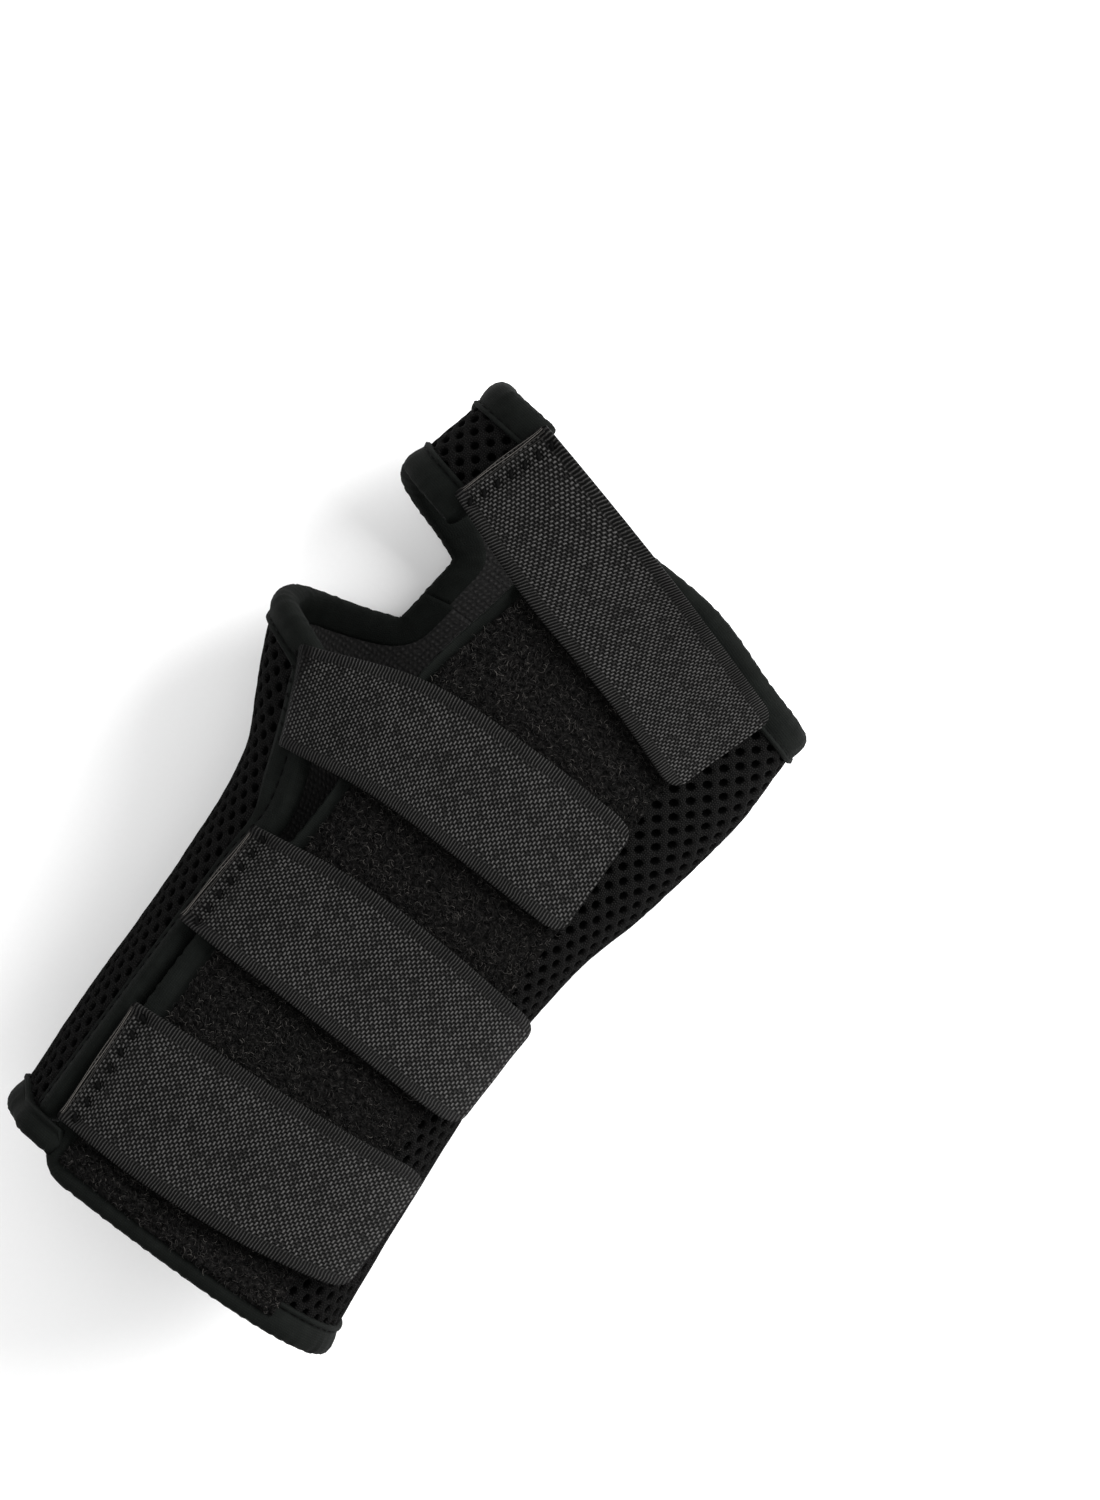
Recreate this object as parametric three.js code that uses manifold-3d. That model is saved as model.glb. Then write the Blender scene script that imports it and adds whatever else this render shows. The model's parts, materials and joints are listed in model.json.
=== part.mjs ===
// A right-hand wrist splint: a padded sleeve that opens along the back of the forearm and hand. Two side
// flaps and a bar over the web of the thumb are held by four hook-and-loop straps, and an aluminium stay
// slides in a pocket along the palm side. Millimetres: x runs towards the little finger, y towards the
// fingers and z towards the back of the hand. The splint lies palm side down.
import * as THREE from "three";
import { mergeVertices } from "three/addons/utils/BufferGeometryUtils.js";
import Module from "manifold-3d";

// ---- Driving dimensions ----

// The whole splint bows upwards at both ends, which holds the wrist in slight extension.
const BOW_RADIUS = 590;
const BOW_MIDDLE_Y = 4;

// Outer side lines and the depth of the channel for the arm, as [y, value] stations.
const radialSide = profile([
  [-90, -41], [-73, -41], [-19, -42.3], [2, -44.8], [12.5, -49.6],
  [25, -56.7], [33, -59], [50, -58], [73, -53.5], [98, -47.5],
]);
const ulnarSide = profile([
  [-90, 42.2], [-62, 39.6], [-25, 36.9], [-5, 37.2], [12.5, 39.6],
  [27, 42.7], [44, 45.8], [60, 47.6], [75, 48], [98, 47],
]);
const channelDepth = profile([[-90, 57], [-50, 52], [-15, 46], [10, 45], [35, 43], [60, 38], [98, 34]]);

// Section shape: a superellipse whose palm side is flattened, so that the stay lies flat.
const DORSAL_POWER = 2.4;
const PALM_POWER = 3;
const PALM_CUT = 2.5;
const SECTION_SAMPLES = 360;

// Layers of cloth, as distances out from the inner face.
const LINING = [0, 0.8];
const MESH = [1.1, 4.3];
const BINDING = [0.2, 5.4];
const PALM_BINDING = [0.2, 4.3];
const LOOP = [4.7, 5.8];
const HOOK = [6.1, 7.0];
const STRAP_INNER = 6.0;
const STRAP_THICKNESS = 1.4;
const HOOK_LIFT = 1.3;
const STITCHES = [7.7, 8.3];
const WALL = MESH[1];

const GAP = 0.3; // between pieces sewn to each other
const HINGE_GAP = 0.8; // between a flap and the palm side
const BINDING_WIDTH = 4.4;
const PROXIMAL_BINDING_WIDTH = 3.8;
const DISTAL_BINDING_WIDTH = 6;

// Where the padded cloth stops, short of the bindings.
const PROXIMAL_Y = -86.2;
const RADIAL_PROXIMAL_Y = -81;
const ulnarDistal = profile([[0, 83], [0.3, 80.6], [0.5, 78.4], [0.75, 73], [1, 69.5]]);
const PALM_DISTAL = [70.5, 92.5];
const PALM_DISTAL_DIP = 3;
const BINDING_SHARE = 0.97; // of an edge, where its binding would meet the next one at a fold

// Edges of the two flaps on the back, as x at each y.
const ulnarFlapEdge = profile([[-90, -24.6], [-20, -24.8], [-6, -22.8], [38, -22.4], [64, -17.6], [90, -15]]);
const radialFlapEdge = profile([[-90, -35.2], [-14, -35.2], [-4, -34], [10, -38], [20, -42], [30, -46.5]]);
const ulnarEdgeBindingWidth = profile([[-90, 5], [-20, 5], [-6, 2.6], [90, 3]]);

// The hem at the forearm end of the radial flap climbs over the edge of the ulnar flap.
const RADIAL_HEM_Y = [-86.8, -81.3];
const RADIAL_HEM_END_X = -26;
const RADIAL_HEM_CLIMB = [5.6, 3.92]; // of its inner and its outer face

// Thumb opening: how far round the palm it reaches, and where its edge climbs to the flaps.
const THUMB_REACH = 26;
const THUMB_TOP = [28.8, 76.8];
const THUMB_FLOOR = [44, 63];

// Bar over the web of the thumb: its edges from the side of the hand to the strap sewn on it.
const WEB_PROXIMAL = [77, 72];
const WEB_DISTAL = [92, 89.5];
const WEB_END_X = [-36.5, -33.5]; // at the thumb's edge and at the fingers'

// Hook-receiving panel on the back: its plan edges.
const LOOP_RIGHT_X = 29.8;
const LOOP_TO_EDGE = 0.2;
const LOOP_TO_DISTAL_EDGE = 2;

// Fold lines of the flaps, each from its proximal end to its distal end, in the bowed splint. They lie
// just outside the cloth, as the crease of a thick fabric does.
const FOLDS = {
  radial: [new THREE.Vector3(-43.5, -87, 34), new THREE.Vector3(-55, 33, 35)],
  web: [new THREE.Vector3(-56, 70, 22), new THREE.Vector3(-49.5, 98, 24.7)],
  ulnar: [new THREE.Vector3(44.5, -87, 35), new THREE.Vector3(50.5, 85, 23)],
};

// Straps: plan points along the finger-side and the arm-side edge, from the sewn end to the free end.
// sewn is how much of the length is stitched down, and hook where the hook pad starts and ends.
const STRAPS = [
  {
    fingerEdge: [[-34.4, 94.6], [-0.4, 85.6], [20.4, 79.5], [38.8, 73.8]],
    armEdge: [[-41, 72], [-16, 62.8], [10, 56], [31, 48.8]],
    sewn: 0.1,
    hook: [0.5, 0.9],
  },
  {
    fingerEdge: [[-46, 28.6], [-22, 37.2], [4, 38.8], [29.4, 38]],
    armEdge: [[-40.5, 8.2], [-18, 11.6], [5, 11.6], [29.4, 10.8]],
    sewn: 0.07,
    hook: [0.5, 0.96],
  },
  {
    fingerEdge: [[-33.4, -8], [-10, -4.4], [14, -4.6], [35.8, -7]],
    armEdge: [[-34.6, -32.6], [-10, -32.3], [12, -32.8], [35, -34]],
    sewn: 0.06,
    hook: [0.5, 0.9],
  },
  {
    fingerEdge: [[-31.4, -51.2], [-8, -48.6], [14, -47], [36, -45.2]],
    armEdge: [[-30, -78.8], [-8, -78.4], [14, -76.6], [36, -73.4]],
    sewn: 0.06,
    hook: [0.5, 0.88],
  },
];

// Stay and its pocket, along the middle of the palm side.
const STAY_X = -3;
const STAY_HALF_WIDTH = 10;
const STAY_ENDS = [-78, 70];
const STAY_LAYER = [4.7, 6.7];
const POCKET_HALF_WIDTH = 17;
const POCKET_ENDS = [-80, 76];
const POCKET_LAYER = [4.6, 8.5];
const POCKET_CAVITY_HALF_WIDTH = 10.8;
const POCKET_CAVITY_ENDS = [-84, 72];
const POCKET_CAVITY_LAYER = [4.2, 7.1];
const MOUTH_ENDS = [-84, -80.3];
const MOUTH_LAYER = [7.1, 9];
const REST_HALF_LENGTH = 10; // half of the flat stretch that the splint rests on

// ---- Finishes ----

const FINISHES = {
  mesh: new THREE.MeshStandardMaterial({ color: 0x343535, roughness: 0.95 }),
  lining: new THREE.MeshStandardMaterial({ color: 0x2b2b2c, roughness: 0.95 }),
  binding: new THREE.MeshStandardMaterial({ color: 0x262927, roughness: 0.85 }),
  loop: new THREE.MeshStandardMaterial({ color: 0x151414, roughness: 1 }),
  hook: new THREE.MeshStandardMaterial({ color: 0x1b1b1c, roughness: 0.7 }),
  webbing: new THREE.MeshStandardMaterial({ color: 0x3f3d3f, roughness: 0.85 }),
  thread: new THREE.MeshStandardMaterial({ color: 0x1a1a1a, roughness: 0.8 }),
  stay: new THREE.MeshStandardMaterial({ color: 0xc2c5c8, roughness: 0.35, metalness: 1 }),
};

// ---- Shape of the sleeve ----

// A smooth curve through [at, value] stations, level at neither end.
function profile(stations) {
  const slope = (i) => {
    const before = stations[Math.max(i - 1, 0)];
    const after = stations[Math.min(i + 1, stations.length - 1)];
    return (after[1] - before[1]) / (after[0] - before[0]);
  };
  return (at) => {
    const last = stations.length - 2;
    const i = THREE.MathUtils.clamp(stations.findIndex(([next]) => next > at) - 1, 0, last);
    const k = at > stations[last][0] ? last : i;
    const span = stations[k + 1][0] - stations[k][0];
    const t = THREE.MathUtils.clamp((at - stations[k][0]) / span, 0, 1);
    const rise = stations[k + 1][1] - stations[k][1];
    const bendIn = slope(k) * span - rise;
    const bendOut = rise - slope(k + 1) * span;
    return stations[k][1] + rise * t + t * (1 - t) * (bendIn * (1 - t) + bendOut * t);
  };
}

const mix = THREE.MathUtils.lerp;
const ease = THREE.MathUtils.smoothstep;

// How far the bow lifts the splint at y.
function bow(y) {
  return BOW_RADIUS - Math.sqrt(BOW_RADIUS ** 2 - (y - BOW_MIDDLE_Y) ** 2);
}

// Height of a fold line at y.
function foldHeight([from, to], y) {
  return mix(from.z, to.z, (y - from.y) / (to.y - from.y));
}

// The inner face at one y, walked from the middle of the back round by the ulnar side and the palm.
// Distances round it are in millimetres, and negative ones go the other way.
class Section {
  constructor(y) {
    const centre = (radialSide(y) + ulnarSide(y)) / 2;
    const reach = (ulnarSide(y) - radialSide(y)) / 2 - WALL;
    const half = channelDepth(y) / 2;
    this.lift = bow(y);
    this.points = [];
    this.distance = [0];
    for (let i = 0; i <= SECTION_SAMPLES; i++) {
      const turn = (2 * Math.PI * i) / SECTION_SAMPLES;
      const dorsal = Math.cos(turn) >= 0;
      const power = dorsal ? DORSAL_POWER : PALM_POWER;
      const side = Math.abs(Math.sin(turn) / reach) ** power;
      const deep = Math.abs(Math.cos(turn) / (dorsal ? half : half + PALM_CUT)) ** power;
      const radius = (side + deep) ** (-1 / power);
      const z = Math.max(0, half + radius * Math.cos(turn));
      this.points.push(new THREE.Vector2(centre + radius * Math.sin(turn), z));
      if (i) this.distance.push(this.distance[i - 1] + this.points[i].distanceTo(this.points[i - 1]));
    }
    this.girth = this.distance[SECTION_SAMPLES];
    this.ulnarSide = this.distance[SECTION_SAMPLES / 4];
    this.radialSide = this.distance[(3 * SECTION_SAMPLES) / 4] - this.girth;
  }

  outwards(i) {
    const before = this.points[(i + SECTION_SAMPLES - 1) % SECTION_SAMPLES];
    const after = this.points[(i + 1) % SECTION_SAMPLES];
    return new THREE.Vector2(before.y - after.y, after.x - before.x).normalize();
  }

  // The point at a distance round the section and a distance out from the inner face, as x and z.
  at(around, out) {
    const target = THREE.MathUtils.euclideanModulo(around, this.girth);
    let low = 0;
    let high = SECTION_SAMPLES;
    while (high - low > 1) {
      const middle = (low + high) >> 1;
      if (this.distance[middle] <= target) low = middle;
      else high = middle;
    }
    const t = (target - this.distance[low]) / (this.distance[high] - this.distance[low]);
    const normal = this.outwards(low).lerp(this.outwards(high), t).normalize();
    return this.points[low].clone().lerp(this.points[high], t).addScaledVector(normal, out);
  }

  // The distance round, between low and high, at which a rising test turns true.
  find(low, high, test) {
    for (let i = 0; i < 40; i++) {
      const middle = (low + high) / 2;
      if (test(middle)) high = middle;
      else low = middle;
    }
    return (low + high) / 2;
  }

  aroundAtX(x, out) {
    return this.find(this.radialSide, this.ulnarSide, (around) => this.at(around, out).x > x);
  }

  ulnarAroundAtZ(z) {
    return this.find(0, this.girth / 2, (around) => this.at(around, WALL).y < z);
  }

  radialAroundAtZ(z) {
    return this.find(-this.girth / 2, 0, (around) => this.at(around, WALL).y > z);
  }
}

const sections = new Map();
function sectionAt(y) {
  const key = y.toFixed(4);
  if (!sections.has(key)) sections.set(key, new Section(y));
  return sections.get(key);
}

function place(around, y, out) {
  const section = sectionAt(y);
  const point = section.at(around, out);
  return new THREE.Vector3(point.x, y, point.y + section.lift);
}

// ---- Building pieces ----

// A box of columns by rows whose corners are sent by to(u, v, w), each from 0 to 1.
function shaped(columns, rows, to) {
  const geometry = new THREE.BoxGeometry(1, 1, 1, columns, rows, 1);
  const position = geometry.getAttribute("position");
  const corner = new THREE.Vector3();
  for (let i = 0; i < position.count; i++) {
    corner.fromBufferAttribute(position, i).addScalar(0.5);
    position.setXYZ(i, ...to(corner.x, corner.y, corner.z));
  }
  matchDiagonals(geometry);
  geometry.computeVertexNormals();
  return geometry;
}

// Turns round the diagonals of a box's inner face to match its outer face, so that one slab's outer face
// runs parallel to the inner face of the next.
function matchDiagonals(geometry) {
  const { start, count } = geometry.groups[5];
  const corners = geometry.index.array;
  for (let i = start; i < start + count; i += 6) {
    const [a, b, d, , c] = corners.slice(i, i + 6);
    corners.set([a, b, c, a, c, d], i);
  }
}

function piece(name, finish, geometry) {
  const mesh = new THREE.Mesh(geometry, FINISHES[finish]);
  mesh.name = name;
  return mesh;
}

// A slab of cloth: outline(u, v) gives [distance round, y], and layer the distances out of its faces.
function slab(name, finish, [columns, rows], outline, layer) {
  const to = (u, v, w) => {
    const [inner, outer] = typeof layer === "function" ? layer(u) : layer;
    const [around, y] = outline(u, v);
    return place(around, y, mix(inner, outer, w));
  };
  return piece(name, finish, shaped(columns, rows, to));
}

// A binding: a strip on the left of a path of [distance round, y] points. Its width may vary with y.
function strip(name, path, width, layer) {
  const points = path.map(([around, y]) => new THREE.Vector2(around, y));
  const steps = points.length - 1;
  const left = points.map((_, i) => {
    const along = points[Math.min(i + 1, steps)].clone().sub(points[Math.max(i - 1, 0)]).normalize();
    return new THREE.Vector2(-along.y, along.x);
  });
  const to = (u, v, w) => {
    const i = Math.round(u * steps);
    const reach = typeof width === "function" ? width(points[i].y) : width;
    const point = points[i].clone().addScaledVector(left[i], mix(GAP, reach, v));
    return place(point.x, point.y, mix(...layer, w));
  };
  return piece(name, "binding", shaped(steps, 1, to));
}

// Points along the line from one corner of an outline to another, each given as [u, v].
function edgeOf(outline, [u0, v0], [u1, v1], steps) {
  return Array.from({ length: steps + 1 }, (_, i) => {
    const t = i / steps;
    return outline(mix(u0, u1, t), mix(v0, v1, t));
  });
}

function groupOf(name, ...meshes) {
  const group = new THREE.Group();
  group.name = name;
  group.add(...meshes);
  return group;
}

// ---- Palm side ----

// How far the edge of the palm side has dropped into the thumb opening at y, from 0 to 1.
function thumbDip(y) {
  const quarter = (from, to) => Math.sin((Math.PI / 2) * THREE.MathUtils.clamp((y - from) / (to - from), 0, 1));
  return quarter(THUMB_TOP[0], THUMB_FLOOR[0]) * quarter(THUMB_TOP[1], THUMB_FLOOR[1]);
}

// Distance round at y to the thumb-side edge of a row of the palm side, which meets that edge at rowY.
function palmRadialEdge(y, rowY) {
  const section = sectionAt(y);
  const fold = rowY < (THUMB_FLOOR[0] + THUMB_FLOOR[1]) / 2 ? FOLDS.radial : FOLDS.web;
  const climbed = section.radialAroundAtZ(foldHeight(fold, y) - bow(y)) + section.girth;
  return mix(climbed - HINGE_GAP / 2, section.girth / 2 + THUMB_REACH, thumbDip(rowY));
}

function ulnarFold(y) {
  return sectionAt(y).ulnarAroundAtZ(foldHeight(FOLDS.ulnar, y) - bow(y));
}

// Rows of the palm side, as shares of its length: close together where its edge drops into the thumb
// opening, and every row of RIM_ROWS borders the opening.
const PALM_ROWS = [
  ...spread(PROXIMAL_Y, THUMB_TOP[0], 12),
  ...spread(THUMB_TOP[0], THUMB_FLOOR[0], 9).slice(1),
  ...spread(THUMB_FLOOR[0], THUMB_FLOOR[1], 3).slice(1),
  ...spread(THUMB_FLOOR[1], THUMB_TOP[1], 9).slice(1),
  ...spread(THUMB_TOP[1], PALM_DISTAL[1], 2).slice(1),
].map((y) => (y - PROXIMAL_Y) / (PALM_DISTAL[1] - PROXIMAL_Y));
const RIM_ROWS = [13, 32];
const PALM_GRID = [12, PALM_ROWS.length - 1];

function spread(from, to, steps) {
  return Array.from({ length: steps + 1 }, (_, i) => mix(from, to, i / steps));
}

function palmOutline(u, v) {
  const distal = mix(...PALM_DISTAL, u) - PALM_DISTAL_DIP * Math.sin(Math.PI * u);
  const share = PALM_ROWS[Math.round(v * PALM_GRID[1])];
  const y = mix(PROXIMAL_Y, distal, share);
  const rowY = mix(PROXIMAL_Y, PALM_DISTAL[1], share);
  return [mix(ulnarFold(y) + HINGE_GAP / 2, palmRadialEdge(y, rowY), u), y];
}

// A bar along the bow through stations of y, palm side down, a layer out from the palm.
function palmBar(halfWidth, stations, layer) {
  const rows = stations.length - 1;
  const to = (u, v, w) => {
    const y = stations[Math.round(v * rows)];
    return [STAY_X + halfWidth * (1 - 2 * u), y, bow(y) - mix(...layer, w)];
  };
  return shaped(1, rows, to);
}

// Stations from end to end of a bar, with one flat stretch at the lowest point of the bow.
function restingStations([from, to]) {
  const flat = [BOW_MIDDLE_Y - REST_HALF_LENGTH, BOW_MIDDLE_Y + REST_HALF_LENGTH];
  return [...spread(from, flat[0], 7), ...spread(flat[1], to, 6)];
}

function palmSide() {
  const rimEnds = RIM_ROWS.map((row) => row / PALM_GRID[1]);
  const thumbRim = edgeOf(palmOutline, [1, rimEnds[1]], [1, rimEnds[0]], RIM_ROWS[1] - RIM_ROWS[0]);
  const distalEdge = edgeOf(palmOutline, [1 - BINDING_SHARE, 1], [BINDING_SHARE, 1], 12);
  const proximalEdge = edgeOf(palmOutline, [1, 0], [0, 0], 12);
  const mouth = palmBar(POCKET_HALF_WIDTH, MOUTH_ENDS, MOUTH_LAYER);
  return groupOf(
    "palm_side",
    slab("palmar_mesh", "mesh", PALM_GRID, palmOutline, MESH),
    slab("palmar_lining", "lining", PALM_GRID, palmOutline, LINING),
    strip("palmar_distal_binding", distalEdge, BINDING_WIDTH, PALM_BINDING),
    strip("palmar_proximal_binding", proximalEdge, PROXIMAL_BINDING_WIDTH, PALM_BINDING),
    strip("thumb_hole_binding", thumbRim, BINDING_WIDTH, BINDING),
    piece("stay_pocket_cover", "binding", pocketCover()),
    piece("stay_pocket_mouth_binding", "binding", mouth),
  );
}

// ---- Stay ----

function stay() {
  const bar = palmBar(STAY_HALF_WIDTH, restingStations(STAY_ENDS), STAY_LAYER);
  return groupOf("stay", piece("palmar_stay", "stay", bar));
}

// ---- Solids cut from each other ----

const manifold = await Module();
manifold.setup();

function solid(geometry) {
  const bare = geometry.clone();
  bare.deleteAttribute("normal");
  bare.deleteAttribute("uv");
  const merged = mergeVertices(bare, 1e-3);
  const vertProperties = merged.getAttribute("position").array;
  const triVerts = new Uint32Array(merged.index.array);
  return new manifold.Manifold(new manifold.Mesh({ numProp: 3, vertProperties, triVerts }));
}

function surface(body) {
  const { vertProperties, triVerts } = body.getMesh();
  const geometry = new THREE.BufferGeometry();
  geometry.setAttribute("position", new THREE.BufferAttribute(vertProperties, 3));
  geometry.setIndex(new THREE.BufferAttribute(triVerts, 1));
  geometry.computeVertexNormals();
  return geometry;
}

// A long tray, open towards the palm and at the end where the stay goes in.
function pocketCover() {
  const outside = palmBar(POCKET_HALF_WIDTH, restingStations(POCKET_ENDS), POCKET_LAYER);
  const cavity = palmBar(POCKET_CAVITY_HALF_WIDTH, restingStations(POCKET_CAVITY_ENDS), POCKET_CAVITY_LAYER);
  return surface(solid(outside).subtract(solid(cavity)));
}

// ---- Ulnar flap ----

function ulnarOutline(u, v) {
  const y = mix(PROXIMAL_Y, ulnarDistal(u), v);
  const edge = sectionAt(y).aroundAtX(ulnarFlapEdge(y), WALL);
  return [mix(edge, ulnarFold(y) - HINGE_GAP / 2, u), y];
}

function loopOutline(u, v) {
  const y = mix(PROXIMAL_Y, ulnarDistal(0.6 * u) - LOOP_TO_DISTAL_EDGE, v);
  const section = sectionAt(y);
  const left = section.aroundAtX(ulnarFlapEdge(y) + LOOP_TO_EDGE, LOOP[1]);
  return [mix(left, section.aroundAtX(LOOP_RIGHT_X, LOOP[1]), u), y];
}

function ulnarFlap() {
  const flapEdge = edgeOf(ulnarOutline, [0, 0], [0, 1], 18);
  const proximalEdge = edgeOf(ulnarOutline, [1, 0], [0, 0], 12);
  const distalEdge = edgeOf(ulnarOutline, [0, 1], [BINDING_SHARE, 1], 12);
  return groupOf(
    "ulnar_flap",
    slab("ulnar_mesh", "mesh", [12, 18], ulnarOutline, MESH),
    slab("ulnar_lining", "lining", [12, 18], ulnarOutline, LINING),
    slab("loop_panel", "loop", [7, 18], loopOutline, LOOP),
    strip("ulnar_edge_binding", flapEdge, ulnarEdgeBindingWidth, BINDING),
    strip("ulnar_distal_binding", distalEdge, DISTAL_BINDING_WIDTH, BINDING),
    strip("ulnar_proximal_binding", proximalEdge, PROXIMAL_BINDING_WIDTH, BINDING),
  );
}

// ---- Radial flap ----

const radialDistal = profile([[0, 28.6], [1, 25.2]]);

function radialOutline(u, v) {
  const y = mix(RADIAL_PROXIMAL_Y, radialDistal(u), v);
  const section = sectionAt(y);
  const fold = section.radialAroundAtZ(foldHeight(FOLDS.radial, y) - bow(y)) + HINGE_GAP / 2;
  return [mix(fold, section.aroundAtX(radialFlapEdge(y), WALL), u), y];
}

function radialHemOutline(u, v) {
  const y = mix(...RADIAL_HEM_Y, v);
  return [mix(radialOutline(0, 0)[0], sectionAt(y).aroundAtX(RADIAL_HEM_END_X, WALL), u), y];
}

function radialHemLayer(u) {
  const climbed = ease(u, 0.25, 0.55);
  return BINDING.map((out, face) => out + RADIAL_HEM_CLIMB[face] * climbed);
}

function radialFlap() {
  return groupOf(
    "radial_flap",
    slab("radial_mesh", "mesh", [5, 16], radialOutline, MESH),
    slab("radial_lining", "lining", [5, 16], radialOutline, LINING),
    strip("radial_edge_binding", edgeOf(radialOutline, [1, 1], [1, 0], 18), BINDING_WIDTH, BINDING),
    strip("radial_thumb_binding", edgeOf(radialOutline, [0, 1], [1, 1], 3), BINDING_WIDTH, BINDING),
    slab("radial_proximal_binding", "binding", [8, 1], radialHemOutline, radialHemLayer),
    ...sewnEnd(2),
    ...sewnEnd(3),
    ...sewnEnd(4),
  );
}

// ---- Web bar ----

function webOutline(u, v) {
  const y = mix(mix(...WEB_PROXIMAL, u), mix(...WEB_DISTAL, u), v);
  const section = sectionAt(y);
  const fold = section.radialAroundAtZ(foldHeight(FOLDS.web, y) - bow(y)) + HINGE_GAP / 2;
  return [mix(fold, section.aroundAtX(mix(...WEB_END_X, v), WALL), u), y];
}

function webBar() {
  return groupOf(
    "web_bar",
    slab("web_mesh", "mesh", [8, 3], webOutline, MESH),
    slab("web_lining", "lining", [8, 3], webOutline, LINING),
    strip("web_distal_binding", edgeOf(webOutline, [0, 1], [1, 1], 8), DISTAL_BINDING_WIDTH, BINDING),
    strip("web_thumb_binding", edgeOf(webOutline, [1, 0], [0, 0], 8), DISTAL_BINDING_WIDTH, BINDING),
    ...sewnEnd(1),
  );
}

// ---- Straps ----

// Plan point on strap number n: u runs from the sewn end to the free end, v from arm to fingers.
function strapPlan(n, u, v) {
  const { fingerEdge, armEdge } = STRAPS[n - 1];
  const along = (points) => {
    const stations = points.map((point, i) => [i / (points.length - 1), point]);
    return [0, 1].map((axis) => profile(stations.map(([at, point]) => [at, point[axis]]))(u));
  };
  const finger = along(fingerEdge);
  return along(armEdge).map((value, axis) => mix(value, finger[axis], v));
}

// The outline of the stretch of strap n from u0 to u1, narrowed by a share of its width at each edge.
function strapOutline(n, u0, u1, narrowed = 0) {
  return (u, v) => {
    const [x, y] = strapPlan(n, mix(u0, u1, u), mix(narrowed, 1 - narrowed, v));
    return [sectionAt(y).aroundAtX(x, STRAP_INNER), y];
  };
}

// Distances out of a strap's faces: it rises where its hook pad starts.
function strapLayer(n, u) {
  const { sewn, hook } = STRAPS[n - 1];
  const inner = STRAP_INNER + HOOK_LIFT * ease(u, sewn, hook[0]);
  return [inner, inner + STRAP_THICKNESS];
}

const STITCH_ROW = [0.45, 0.6]; // where the row of stitches lies along a sewn end
const FOLD_CLEARANCE = 0.004; // share of a strap's length left open at its fold
const HOOK_NARROWED = 0.06;
const FOLD_RISE = 1.2; // of a strap's fold line above the strap

function sewnEnd(n) {
  const { sewn } = STRAPS[n - 1];
  const [from, to] = STITCH_ROW.map((share) => share * sewn);
  return [
    slab(`strap_${n}_sewn_end`, "webbing", [2, 2], strapOutline(n, 0, sewn), strapLayer(n, 0)),
    slab(`strap_${n}_stitching`, "thread", [1, 2], strapOutline(n, from, to, HOOK_NARROWED), STITCHES),
  ];
}

function strap(n) {
  const { sewn, hook } = STRAPS[n - 1];
  const start = sewn + FOLD_CLEARANCE;
  const layerAt = (u) => strapLayer(n, mix(start, 1, u));
  return groupOf(
    `strap_${n}`,
    slab(`strap_${n}_band`, "webbing", [14, 2], strapOutline(n, start, 1), layerAt),
    slab(`strap_${n}_hook_pad`, "hook", [6, 2], strapOutline(n, ...hook, HOOK_NARROWED), HOOK),
  );
}

// ---- Axes that the flaps fold about, the straps peel about and the stay slides round ----

// The line across strap n where its sewn end stops, a little above the cloth: arm edge, finger edge.
function strapFold(n) {
  const { sewn } = STRAPS[n - 1];
  return [0, 1].map((v) => {
    const [around, y] = strapOutline(n, sewn, 1)(0, v);
    return place(around, y, STRAP_INNER + STRAP_THICKNESS + FOLD_RISE);
  });
}

// Each axis as two points, moved by the offset that the whole splint is placed with.
function axesFrom(offset) {
  const bowAxis = [0, 1].map((x) => new THREE.Vector3(x, BOW_MIDDLE_Y, BOW_RADIUS - STAY_LAYER[0]));
  const lines = { ...FOLDS, stay: bowAxis };
  STRAPS.forEach((_, i) => (lines[`strap_${i + 1}`] = strapFold(i + 1)));
  const moved = (line) => line.map((point) => point.clone().add(offset));
  return Object.fromEntries(Object.entries(lines).map(([name, line]) => [name, moved(line)]));
}

// ---- The splint, with its origin under the middle of its box ----

function splint() {
  const straps = STRAPS.map((_, i) => strap(i + 1));
  const group = groupOf("wrist_splint", palmSide(), ulnarFlap(), radialFlap(), webBar(), ...straps, stay());
  const box = new THREE.Box3().setFromObject(group, true);
  const middle = box.getCenter(new THREE.Vector3());
  group.position.set(-middle.x, -middle.y, -box.min.z);
  group.userData.axes = axesFrom(group.position);
  return group;
}

export default splint();
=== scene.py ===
"""A right-hand wrist splint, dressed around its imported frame: spacer-mesh cloth over a soft lining,
rolled bindings, a panel of loop pile, four woven straps with hook pads, and the stay in its pocket."""
import json
import math

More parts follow.
